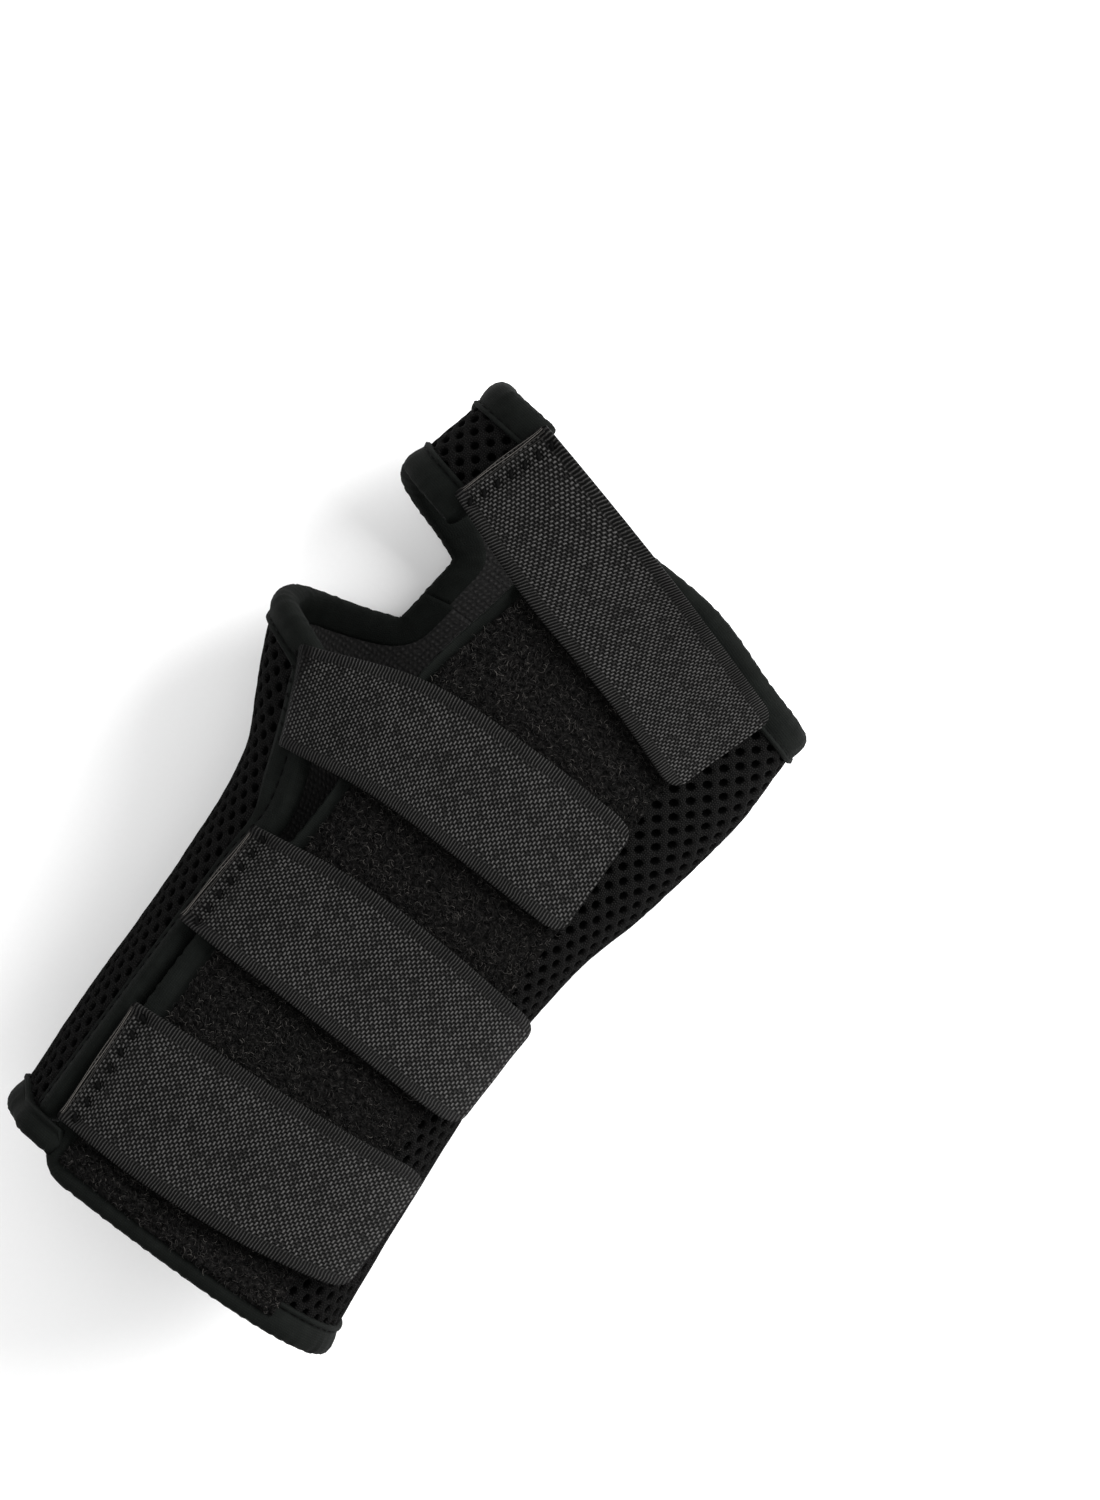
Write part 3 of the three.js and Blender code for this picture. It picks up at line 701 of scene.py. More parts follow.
def webbing_material():
    """Woven hook-tape webbing: ribs across the strap, with floats laid over them in twill steps, and plain ribbed
    selvedges. The colour follows the weave's height: painted highlights on the float tops, painted shade in the pits.
    The third coordinate is the distance from the nearer long edge."""
    rib_pitch, float_pitch = 0.65, 1.25
    s = Shader("webbing_twill", 0.6, specular=0.04)
    vector, along, across, from_edge = s.cloth()
    along = s.plus(along, s.plus(-0.25, s.noise(vector, 0.35, 2), 0.5))
    ribs = s.math("DIVIDE", along, rib_pitch)
    rib = s.math("FLOOR", ribs)
    step = s.plus(s.math("DIVIDE", across, float_pitch), rib, 0.5)
    over = s.remap(s.math("FRACT", step), 0.0, 0.86)
    float_across = s.math("SINE", s.times(over, math.pi))
    float_along = s.math("SINE", s.times(s.math("FRACT", ribs), math.pi))
    floats = s.times(s.math("POWER", float_along, 1.3), s.math("POWER", float_across, 0.45))
    yarn = s.noise(s.vector(s.times(rib, 3.7), s.math("FLOOR", step)), 1.7, 0)
    filling = s.times(s.wave(across, float_pitch / 2), 0.4)
    woven = s.math("MAXIMUM", filling, s.times(floats, s.remap(yarn, 0.2, 0.8, 0.6, 1.2)))
    selvedge = s.times(s.wave(along, rib_pitch), 0.66)
    height = s.choose(s.remap(from_edge, 2.3, 3.0), selvedge, woven)
    height = s.plus(height, s.noise(vector, 4.0, 3), 0.3)
    # Painted light: the tone follows the weave's height, so float tops get painted highlights and the pits painted
    # shade.
    tone = s.plus(height, s.noise(vector, 0.12, 2), 0.12)
    # Painted shade: the tone falls to 0.62 of itself before 1.2 mm along, darkening the sewn ends and the second
    # strap's leg under its fold.
    tone = s.times(tone, s.remap(along, -0.5, 1.2, 0.62, 1.0))
    colour = s.ramp(tone, [
        (0.20, grey(0.0003)), (0.45, grey(0.0024, 0.03)), (0.8, grey(0.0135, 0.03)), (1.0, grey(0.058, 0.02)),
    ])
    return s.finish(colour, height, 0.3)


def thread_material():
    """Twisted sewing thread."""
    s = Shader("sewing_thread", 0.6, specular=0.03)
    _, along, across, _ = s.cloth()
    ply = s.wave(s.plus(along, across), 0.3)
    colour = s.ramp(ply, [(0.0, grey(0.0006)), (1.0, grey(0.0035))])
    return s.finish(colour, ply, 0.06)


def hook_material():
    """Moulded hooks on a dark backing."""
    s = Shader("hook_tape_nylon", 0.45, specular=0.25)
    vector, *_ = s.cloth()
    colour = s.ramp(s.noise(vector, 0.8, 3), [(0.3, grey(0.006)), (0.7, grey(0.014))])
    return s.finish(colour, s.noise(vector, 3.0), 0.08)


def stay_material():
    """Rolled aluminium with fine lengthwise brushing and a few handling marks."""
    s = Shader("aluminium_brushed", 0.32, specular=0.5, metallic=1.0)
    vector, along, across, _ = s.cloth()
    brushing = s.vector(s.times(along, 0.03), s.times(across, 6.0))
    grain = s.noise(brushing, 1.5, 4)
    marks = s.noise(vector, 0.15, 5)
    colour = s.blend(marks, (0.62, 0.63, 0.65), (0.78, 0.79, 0.80))
    s.feed(s.surface.inputs["Roughness"], s.remap(grain, 0.2, 0.8, 0.24, 0.45))
    return s.finish(colour, grain, 0.03)


def floor_material():
    s = Shader("floor_paper", 0.9, specular=0.1)
    coordinates = s.nodes.new("ShaderNodeTexCoord").outputs["Object"]
    fine = s.noise(coordinates, 900, 2)
    return s.finish(s.blend(fine, (0.93, 0.93, 0.93), (0.95, 0.95, 0.95)), fine, 0.02)


MATERIALS = {
    "mesh": mesh_material(),
    "lining": lining_material(),
    "binding": binding_material(),
    "pile": pile_material(),
    "fibre": fibre_material(),
    "webbing": webbing_material(),
    "thread": thread_material(),
    "hook": hook_material(),
    "stay": stay_material(),
}


# ---- Building pieces ----


def new_piece(name, points, faces, cloth, material, slot):
    """A smooth mesh from design points and their cloth coordinates, with all its faces turned outwards."""
    mesh = bpy.data.meshes.new(name)
    mesh.from_pydata(in_frame(points).tolist(), [], [tuple(map(int, face)) for face in faces])
    attribute = mesh.attributes.new("cloth", "FLOAT_VECTOR", "POINT")
    attribute.data.foreach_set("vector", np.asarray(cloth, np.float32).ravel())
    mesh.materials.append(MATERIALS[material])
    mesh.shade_smooth()
    work = bmesh.new()
    work.from_mesh(mesh)
    bmesh.ops.recalc_face_normals(work, faces=work.faces)
    work.to_mesh(mesh)
    work.free()
    piece = bpy.data.objects.new(name, mesh)
    bpy.context.scene.collection.objects.link(piece)
    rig.slot(piece, slot)
    return piece


def grid_faces(rows, columns, flip=False):
    index = np.arange(rows * columns).reshape(rows, columns)
    a, b, c, d = index[:-1, :-1], index[1:, :-1], index[1:, 1:], index[:-1, 1:]
    return stacked(*((a, d, c, b) if flip else (a, b, c, d))).reshape(-1, 4)


def grid(rows, columns):
    """Two grids of numbers: one that changes from row to row, and one from column to column. Each is
    given by its first and last number and its count."""
    return np.meshgrid(np.linspace(*rows), np.linspace(*columns), indexing="ij")


def rim_of(rows, columns):
    """Indices round the border of a grid, once round."""
    index = np.arange(rows * columns).reshape(rows, columns)
    return np.concatenate([index[0, :-1], index[:-1, -1], index[-1, :0:-1], index[:0:-1, 0]])


def closed_cloth(name, outer, inner, bulge, cloth, material, slot):
    """A piece between two grids of points, its rim rounded by a bulge. The cloth coordinates are those of
    the outer grid."""
    rows, columns = outer.shape[:2]
    count = rows * columns
    rim = rim_of(rows, columns)
    outer_points, inner_points, cloth = (a.reshape(-1, 3) for a in (outer, inner, cloth))
    one_in = outer.copy()
    one_in[0], one_in[-1] = outer[1], outer[-2]
    one_in[:, 0], one_in[:, -1] = one_in[:, 1], one_in[:, -2]
    outwards = (outer - one_in).reshape(-1, 3)[rim]
    outwards /= np.maximum(np.linalg.norm(outwards, axis=1, keepdims=True), 1e-6)
    rings = [
        mix(outer_points[rim], inner_points[rim], t) + outwards * bulge * math.sin(math.pi * t)
        for t in (0.25, 0.5, 0.75)
    ]
    starts = [rim, *(2 * count + k * len(rim) + np.arange(len(rim)) for k in range(3)), count + rim]
    walls = [stacked(a, b, np.roll(b, -1), np.roll(a, -1)) for a, b in zip(starts[:-1], starts[1:])]
    points = np.concatenate([outer_points, inner_points, *rings])
    faces = np.concatenate([grid_faces(rows, columns), count + grid_faces(rows, columns, True), *walls])
    cloth = np.concatenate([cloth, cloth, *[cloth[rim]] * 3])
    return new_piece(name, points, faces, cloth, material, slot)


def tube_faces(tubes, rings, sides):
    """Faces of closed tubes whose points come ring by ring: all their walls, then both ends of each."""
    index = np.arange(tubes * rings * sides).reshape(tubes, rings, sides)
    after = np.roll(index, -1, axis=2)
    walls = stacked(index[:, :-1], index[:, 1:], after[:, 1:], after[:, :-1]).reshape(-1, 4)
    return walls.tolist() + index[:, 0].tolist() + index[:, -1, ::-1].tolist()


def ripple(a, b, size, seed=0.0):
    """A smooth uneven surface, about size high, that repeats nowhere soon."""
    return size * (
        np.sin(0.31 * a + 0.17 * b + seed) * 0.5
        + np.sin(0.13 * a - 0.37 * b + 1.7 * seed + 1) * 0.3
        + np.sin(0.83 * a + 0.61 * b + 2.3 * seed + 2) * 0.2
    )


def fold_blend(piece, flap, body):
    """Bends a piece from the palm side to a flap round the flap's fold."""
    start, end = (Vector(in_frame(p)) for p in FOLDS[flap])
    along = (end - start).normalized()
    up = Vector((0, 0, 1))
    up = (up - up.dot(along) * along).normalized()
    middle = (start + end) / 2
    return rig.blend(piece, "palm_side", body, start=middle - up * 9 * MM, end=middle + up * 9 * MM)


# ---- Spacer mesh: a lattice of cells, each with a hole ----

# A cell's width and length, which change along the arm; its border's eight points and the rings of its
# hole, each a share of the cell and a depth.
CELL_ACROSS = profile([[-90, 3.5], [-30, 3.6], [50, 4.3], [98, 4.35]])
CELL_ALONG = (5.35, 4.65)
CELL_ALONG_Y = (-90.0, 90.0)
CELL_SLOPE = (CELL_ALONG[1] - CELL_ALONG[0]) / (CELL_ALONG_Y[1] - CELL_ALONG_Y[0])
RING = np.array([(1, 0), (0.5, 0.5), (0, 1), (-0.5, 0.5), (-1, 0), (-0.5, -0.5), (0, -1), (0.5, -0.5)])
TURN8 = np.arange(8) * math.pi / 4
HOLE_RINGS = [(0.53, 0.05), (0.44, 0.55), (0.38, 1.7)]
HOLE_SQUASH = 0.86
KNIT_RIDGE = 0.16
HEM = 2.4  # how far past its outline the cloth runs on under the bindings
KEEP = 2.2  # how far past the outline a cell's centre may lie


def lattice_y(j):
    """The y of row j of the lattice. Cells grow shorter towards the fingers."""
    return CELL_ALONG_Y[0] + CELL_ALONG[0] * (np.exp(CELL_SLOPE * j / 2) - 1) / CELL_SLOPE


def lattice_place(cells):
    """The (distance round, y) points of lattice places."""
    y = lattice_y(cells[..., 1])
    return stacked(cells[..., 0] * CELL_ACROSS(y) / 2, y)


def distance_to(points, outline):
    """Distance from points to a closed outline, positive outside, and the nearest points on it."""
    a, b = outline, np.roll(outline, -1, axis=0)
    best = np.full(len(points), 1e9)
    nearest = np.zeros_like(points)
    inside = np.zeros(len(points), bool)
    for p, q in zip(a, b):
        edge = q - p
        t = np.clip(((points - p) @ edge) / max(edge @ edge, 1e-12), 0, 1)
        foot = p + t[:, None] * edge
        gap = np.linalg.norm(points - foot, axis=1)
        closer = gap < best
        best = np.where(closer, gap, best)
        nearest[closer] = foot[closer]
        crosses = (p[1] > points[:, 1]) != (q[1] > points[:, 1])
        if crosses.any() and abs(edge[1]) > 1e-12:
            at = p[0] + (points[:, 1] - p[1]) / edge[1] * edge[0]
            inside ^= crosses & (points[:, 0] < at)
    return np.where(inside, -best, best), nearest


def side_puff(chart):
    """How far the padding stands out further along the two sides of the hand and arm."""
    around, y = chart.T
    thumb_side = ease(y, -80, -60) * (1 - ease(y, 12, 27))
    finger_side = ease(y, 5, 25) * (1 - ease(y, 50, 68))
    puff = 0
    for side, share in enumerate((thumb_side, finger_side)):
        middle = np.interp(y, sleeve.y, sleeve.sides[:, side])
        puff = puff + 0.9 * share * np.exp(-((around - middle) / 13) ** 2)
    return puff


def kept_cells(outline, own_y):
    """Lattice places of the cells inside an outline, or just past it, within the piece's own range of y.
    The rest belong to the neighbouring piece."""
    low, high = outline.min(0) - 6, outline.max(0) + 6
    reach = int(max(abs(low[0]), abs(high[0])) / 1.7)
    i, j = np.meshgrid(np.arange(-reach, reach + 1), np.arange(-4, 80), indexing="ij")
    even = (i + j) % 2 == 0
    cells = stacked(i[even], j[even]).astype(float)
    centres = lattice_place(cells)
    near = ((centres > low) & (centres < high)).all(1)
    cells, centres = cells[near], centres[near]
    gap, _ = distance_to(centres, outline)
    y = centres[:, 1]
    return cells[(gap < KEEP) & (y >= own_y[0]) & (y < own_y[1])]


def cell_rings(cells):
    """Lattice places of the cells' points, how deep each lies, and the indices of each cell's rings of
    points: first its border, which it shares with its neighbours, then down into its hole."""
    corners = np.round((cells[:, None] + RING) * 2).astype(int).reshape(-1, 2)
    border_points, border = np.unique(corners, axis=0, return_inverse=True)
    places, depth, rings = [border_points / 2], [np.zeros(len(border_points))], [border.reshape(-1, 8)]
    first = len(border_points)
    for share, sink in HOLE_RINGS:
        circle = stacked(np.cos(TURN8), np.sin(TURN8) * HOLE_SQUASH) * share
        places.append((cells[:, None] + circle).reshape(-1, 2))
        depth.append(np.full(len(cells) * 8, sink))
        rings.append(first + np.arange(len(cells) * 8).reshape(-1, 8))
        first += len(cells) * 8
    return np.concatenate(places), np.concatenate(depth), rings, len(border_points)


def lattice_cloth(name, outline, own_y):
    """Spacer mesh inside an outline of (distance round, y) points."""
    outline = resampled(np.concatenate([outline, outline[:1]]), 2.0)[:-1]
    places, depth, rings, shared = cell_rings(kept_cells(outline, own_y))
    chart = lattice_place(places)
    gap, nearest = distance_to(chart, outline)
    beyond = gap > HEM
    pull = (HEM / np.maximum(gap, 1e-6))[beyond, None]
    chart[beyond] = nearest[beyond] + (chart[beyond] - nearest[beyond]) * pull
    pressed = 0.5 * ease(gap, -2.5, 1.0)
    out = WALL - depth - pressed + side_puff(chart) + ripple(chart[:, 0], chart[:, 1], 0.12)
    out[:shared] += KNIT_RIDGE
    points = np.concatenate([sleeve.at(chart, out), sleeve.at(chart[:shared], MESH[0])])
    faces = [rings[-1], rings[0][:, ::-1] + len(chart)]
    for inner, outer in zip(rings[1:], rings[:-1]):
        faces.append(stacked(outer, np.roll(outer, -1, 1), np.roll(inner, -1, 1), inner).reshape(-1, 4))
    faces = [face for group in faces for face in group.tolist()]
    faces += border_walls(rings[0], len(chart))
    cloth = stacked(chart[:, 0], chart[:, 1], depth)
    cloth = np.concatenate([cloth, cloth[:shared]])
    piece = new_piece(name, points, faces, cloth, "mesh", "spacer_mesh")
    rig.padded(piece, fill=0.8)
    return piece


def border_walls(border, shift):
    """Faces between the two sides of a lattice's cells, along the edges that only one cell has."""
    edges = stacked(border, np.roll(border, -1, 1)).reshape(-1, 2)
    forward = {tuple(edge): None for edge in edges.tolist()}
    return [(b, a, a + shift, b + shift) for a, b in forward if (b, a) not in forward]


# ---- Lining ----


def patch(bottom, top, edge, middle, count=90):
    """A grid of (distance round, y) points inside four paths: the bottom and top ones run from the middle
    of the palm to the flap's edge, and the other two from bottom to top."""

    def evenly(path):
        path = resampled(path, 0.25)
        k = np.linspace(0, len(path) - 1, count)
        return np.stack([np.interp(k, np.arange(len(path)), values) for values in path.T], -1)

    bottom, top, edge, middle = (evenly(path) for path in (bottom, top, edge, middle))
    t = np.linspace(0, 1, count)[:, None, None]
    s = np.linspace(0, 1, count)[None, :, None]
    corners = mix(mix(bottom[0], bottom[-1], s), mix(top[0], top[-1], s), t)
    return mix(bottom[None], top[None], t) + mix(middle[:, None], edge[:, None], s) - corners


def palm_middle(side, low, high):
    """The middle of the palm from y low to high, as met from the ulnar side (1) or the radial one (-1)."""
    y = np.linspace(low, high, 80)
    return stacked(side * sleeve.girth(y) / 2, y)


def area_in(outline):
    x, y = outline.T
    return abs(np.sum(x * np.roll(y, -1) - y * np.roll(x, -1))) / 2


def lining(name, bottom, top, edge, middle):
    """The soft sheet against the skin. Its flat size is its outline on the chart of the sleeve."""
    chart = patch(bottom, top, edge, middle)
    around, y = chart[..., 0], chart[..., 1]
    outer = sleeve.at(chart, LINING[1])
    inner = sleeve.at(chart, LINING[0] + ripple(around, y, 0.12, 3))
    piece = closed_cloth(name, outer, inner, 0.2, stacked(around, y, 0), "lining", "lining")
    outline = np.concatenate([bottom, edge, top[::-1], middle[::-1]])
    size = np.ptp(outline, axis=0) * MM
    area = area_in(outline) * MM**2
    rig.sheet(piece, flat=tuple(size), held="stretched", area=min(area, size[0] * size[1]))
    return piece


# ---- Bindings: a tape rolled over an edge, with a folded ridge and stitches in the groove beside it ----

FOLD = 1.05
SEAM_OUT = WALL + 0.45
# Share of a stitch's length, height over the cloth and thickness, at five places along it.
STITCH_SHAPE = ((0, -2.4, 0.55), (0.12, -0.4, 1.0), (0.5, 1.0, 1.1), (0.88, -0.4, 1.0), (1.0, -2.4, 0.55))


def tape_section(reach, lap, fold, ridge, swell):
    """Points round the tape, as (distance out past the cloth's edge, distance out from the inner face).
    The tape starts on the outside at its folded ridge, dips in the stitched groove one fold further,
    swells over the edge, and ends inside the splint."""
    foot, top = WALL - 0.3, WALL + swell
    groove = fold - lap
    shoulder = groove + 0.45
    folded_ridge = [
        (-lap, foot), (-lap - 0.1, foot + 0.9 * ridge), (-lap + 0.25 * fold, foot + 1.45 * ridge),
        (-lap + 0.7 * fold, foot + 1.35 * ridge), (groove, foot + 0.55 + 0.1 * ridge),
    ]
    over_edge = [
        (shoulder, WALL + 0.75), (mix(shoulder, reach, 0.3), top - 0.1),
        (mix(shoulder, reach, 0.55), top + 0.05), (mix(shoulder, reach, 0.75), top - 0.2),
        (reach - 0.45, top - 0.9), (reach, top - 2.1), (reach + 0.05, 2.7),
    ]
    inside = [
        (reach - 0.1, 1.4), (reach - 0.6, 0.4), (reach - 1.4, -0.15), (mix(-lap, reach, 0.5), -0.3),
        (-lap + 1.0, -0.25), (-lap + 0.2, -0.05), (-lap, 0.5),
    ]
    return np.array(folded_ridge + over_edge + inside)


def rolled(name, path, reach, lap, fold=FOLD, ridge=1.0, swell=1.25, lift=0.0, squeeze=1.0, ends=(0, 0)):
    """A binding along a path of (distance round, y) points, with the outside on its left. Its ends are
    rounded over the two given lengths; a length of 0 leaves the end cut square."""
    count = len(path)
    left = smoothed(left_of(path), 3)
    left /= np.linalg.norm(left, axis=1, keepdims=True)
    distance = lengths_along(path)
    reach, lap, fold, ridge, swell, lift, squeeze = (
        np.broadcast_to(value, count) for value in (reach, lap, fold, ridge, swell, lift, squeeze)
    )
    chart, outs, cloth = [], [], []
    for k in range(count):
        pucker = 0.2 * math.sin(distance[k] * 2.3) * math.sin(distance[k] * 0.37 + 1)
        section = tape_section(reach[k] + 0.6 * pucker, lap[k], fold[k], ridge[k], swell[k] + 0.7 * pucker)
        middle = section.mean(0)
        for length, gap in zip(ends, (distance[k], distance[-1] - distance[k])):
            if length:
                rounding = math.sqrt(max(0.02, 1 - (1 - min(gap / length, 1)) ** 2))
                section = middle + (section - middle) * rounding
        chart.append(path[k] + section[:, :1] * left[k])
        outs.append(section[:, 1] * squeeze[k] + lift[k])
        cloth.append(stacked(distance[k], lengths_along(section), section[:, 1]))
    points = sleeve.at(np.array(chart), np.array(outs)).reshape(-1, 3)
    faces = tube_faces(1, count, len(section))
    return new_piece(name, points, faces, np.concatenate(cloth), "binding", "binding")


def stitches(name, starts, ends, radius=0.2, sag=0.12):
    """Short stitches of round thread, bent down at both ends, from each start to each end. Both are points
    followed by the outward direction."""
    starts, ends = np.asarray(starts, float), np.asarray(ends, float)
    turns = np.arange(6) * math.pi / 3
    points, cloth = [], []
    for start, end in zip(starts, ends):
        direction = end[:3] - start[:3]
        length = np.linalg.norm(direction)
        direction = direction / length
        normal = start[3:] / np.linalg.norm(start[3:])
        side = np.cross(direction, normal)
        side /= np.linalg.norm(side)
        for share, rise, size in STITCH_SHAPE:
            centre = start[:3] + direction * length * share + normal * rise * sag
            for turn in turns:
                points.append(centre + radius * size * (math.cos(turn) * side + math.sin(turn) * normal))
                cloth.append((length * share, turn * radius, 0))
    faces = tube_faces(len(starts), len(STITCH_SHAPE), len(turns))
    return new_piece(name, points, faces, cloth, "thread", "thread")


def on_sleeve(chart, out):
    """Points on the sleeve, each followed by its outward direction."""
    point = sleeve.at(chart, out)
    return np.concatenate([point, sleeve.at(chart, out + 1.0) - point], -1)


def seam(name, path, inset):
    """A row of stitches in the groove of a binding along a path, inset to its right."""
    step = 0.2
    row = resampled(path - inset * left_of(path), step)
    pitch, length = int(2.6 / step), int(1.9 / step)
    first = np.arange(2, len(row) - length - 2, pitch)
    return stitches(name, on_sleeve(row[first], SEAM_OUT), on_sleeve(row[first + length], SEAM_OUT))


# ---- The three sections of cloth ----


def section_cloth(side, outline, own_y, *lining_paths):
    """The spacer mesh and the lining of one section."""
    mesh = lattice_cloth(f"{side}_cloth", outline, own_y)
    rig.replaces(mesh, f"{side}_mesh", "palmar_mesh")
    soft = lining(f"{side}_soft_lining", *lining_paths)
    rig.replaces(soft, f"{side}_lining", "palmar_lining")
    return [mesh, soft]


def ulnar_section():
    bottom, edge, distal = ulnar_paths()
    middle = palm_middle(1, PROXIMAL_Y, distal[-1, 1])
    outline = np.concatenate([bottom, edge[1:], distal[1:], middle[-2:0:-1]])
    cloth = section_cloth("ulnar", outline, (-math.inf, math.inf), bottom, distal[::-1], edge, middle)
    path = smoothed(joined(bottom, edge, distal), 8)
    low, high = (np.argmin(np.linalg.norm(path - at, axis=1)) for at in (edge[0], edge[-1]))
    at = np.arange(len(path))
    on_edge = ease(at, low - 3, low + 5) * (1 - ease(at, high - 5, high + 3))
    on_palm = ease(at, len(path) - 70, len(path) - 45)
    on_top = at > high - 4
    top_reach = mix(mix(3.6, 5.8, ease(at, high, high + 32)), 4.6, on_palm)
    reach = smoothed(mix(np.where(on_top, top_reach, 2.9), ulnar_edge_reach(path[:, 1]), on_edge), 12)
    lap = smoothed(mix(np.where(on_top, 1.8, 4.0), 0.4, on_edge), 12)
    ridge, swell = mix(1.0, 0.15, on_edge), mix(1.25, 1.5, on_edge)
    tape = rolled("ulnar_binding", path, reach, lap, ridge=ridge, swell=swell)
    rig.replaces(
        tape, "ulnar_edge_binding", "ulnar_distal_binding", "ulnar_proximal_binding",
        "palmar_distal_binding", "palmar_proximal_binding",
    )
    inset = lap[:, None] - FOLD
    proximal = seam("ulnar_proximal_stitches", path[:low], inset[:low])
    distal = seam("ulnar_distal_stitches", path[high:], inset[high:])
    return [*cloth, tape, proximal, distal], "ulnar", "ulnar_flap"


def radial_section():
    thumb, edge, bottom = radial_paths()
    middle = palm_middle(-1, PROXIMAL_Y, THUMB_MIDDLE_Y)
    outline = np.concatenate([thumb, edge[1:], bottom[1:], middle[1:]])
    top = np.concatenate([middle[-1:], thumb])
    own_y = (-math.inf, THUMB_MIDDLE_Y)
    cloth = section_cloth("radial", outline, own_y, bottom[::-1], top, edge[::-1], middle)
    path = smoothed(joined(thumb, edge), 8)
    corner = np.argmin(np.linalg.norm(path - edge[0], axis=1))
    at = np.arange(len(path))
    on_thumb = 1 - ease(at, corner - 4, corner + 4)
    in_gap = ease(path[:, 1], -12, 4)
    lap = smoothed(mix(mix(0.6, 3.6, in_gap), 2.6, on_thumb), 12)
    fold = smoothed(mix(mix(FOLD, 3.9, in_gap), FOLD, on_thumb), 12)
    ridge = mix(mix(0.5, 1.0, in_gap), 1.0, on_thumb)
    tape = rolled("radial_binding", path, 4.5, lap, fold, ridge, swell=1.35, ends=(0, 2.2))
    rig.replaces(tape, "radial_edge_binding", "radial_thumb_binding", "thumb_hole_binding")
    thread = seam("radial_binding_stitches", path, (lap - fold)[:, None])
    hem = radial_hem(bottom)
    hem_thread = seam("radial_hem_stitches", bottom[4:], 3.0 - FOLD)
    return [*cloth, tape, thread, hem, hem_thread], "radial", "radial_flap"


def radial_hem(bottom):
    """The hem at the forearm end, which laps over the edge of the ulnar flap."""
    start = stacked(sleeve.around_at_x(RADIAL_HEM_END[0], RADIAL_HEM_END[1]), RADIAL_PROXIMAL_Y + 0.2)
    path = smoothed(joined(start[None], bottom), 6)
    around, corner = path[:, 0], bottom[0, 0]
    over = ease(around, corner - 5, corner + 3)
    on_palm = 1 - ease(around, path[-1, 0] + 6, path[-1, 0] + 26)
    lap = mix(mix(3.0, 0.9, ease(around, corner - 9, corner - 1)), 4.0, on_palm)
    reach, squeeze = mix(4.6, 2.9, on_palm), mix(1.0, 0.5, over)
    hem = rolled("radial_hem", path, reach, lap, lift=5.1 * over, squeeze=squeeze, ends=(0.9, 0))
    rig.replaces(hem, "radial_proximal_binding", "palmar_proximal_binding")
    return hem


def web_section():
    distal, thumb = web_paths()
    middle = palm_middle(-1, THUMB_MIDDLE_Y, distal[0, 1])
    outline = np.concatenate([distal, thumb, middle[:-1]])
    bottom = np.concatenate([middle[:1], thumb[::-1]])
    bar_end = np.stack([thumb[0], distal[-1]])
    own_y = (THUMB_MIDDLE_Y, math.inf)
    pieces = section_cloth("web", outline, own_y, bottom, distal, bar_end, middle)
    for name, path, ends, nodes in (
        ("web_distal_tape", distal, (0, 1.2), ("web_distal_binding", "palmar_distal_binding")),
        ("web_thumb_tape", thumb, (1.2, 0), ("web_thumb_binding", "thumb_hole_binding")),
    ):
        path = smoothed(joined(path), 6)
        reach = mix(4.5, 6.0, ease(path[:, 0], -95, -70))
        lap = mix(2.6, 1.6, ease(path[:, 0], -100, -92))
        tape = rolled(name, path, reach, lap, ends=ends)
        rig.replaces(tape, *nodes)
        pieces += [tape, seam(f"{name}_stitches", path, lap[:, None] - FOLD)]
    return pieces, "web", "web_bar"


# ---- Loop pile ----


def swept(name, centres, normals, radius, shade, material, slot):
    """Thin three-sided hairs along rows of centres, in one piece, with their shade as cloth coordinate."""
    count, rings = centres.shape[:2]
    ahead = np.gradient(centres, axis=1)
    across = np.cross(ahead, normals[:, None])
    across /= np.maximum(np.linalg.norm(across, axis=2, keepdims=True), 1e-9)
    points = np.stack([
        centres + radius * (math.cos(turn) * across + math.sin(turn) * normals[:, None])
        for turn in (math.pi / 2, math.pi * 7 / 6, math.pi * 11 / 6)
    ], 2)
    cloth = stacked(shade[:, None], np.arange(rings * 3) * 0.1, 0)
    faces = tube_faces(count, rings, 3)
    return new_piece(name, points.reshape(-1, 3), faces, cloth.reshape(-1, 3), material, slot)


def curled(roots, normals, lengths, heights, curls):
    """Centres of hairs that rise from their roots and curl over the ground, four to each."""
    lean = random.normal(size=roots.shape)
    lean -= np.sum(lean * normals, axis=1, keepdims=True) * normals
    lean /= np.linalg.norm(lean, axis=1, keepdims=True)
    beside = np.cross(normals, lean)
    run = (lengths / curls)[:, None]
    centres = []
    for share, rise in ((0.0, -0.3), (0.33, 0.8), (0.7, 1.0), (1.0, 0.35)):
        turn = (curls * share)[:, None]
        flat = run * (np.sin(turn) * lean + (1 - np.cos(turn)) * beside)
        centres.append(roots + flat + normals * (heights * rise)[:, None])
    return np.stack(centres, 1)


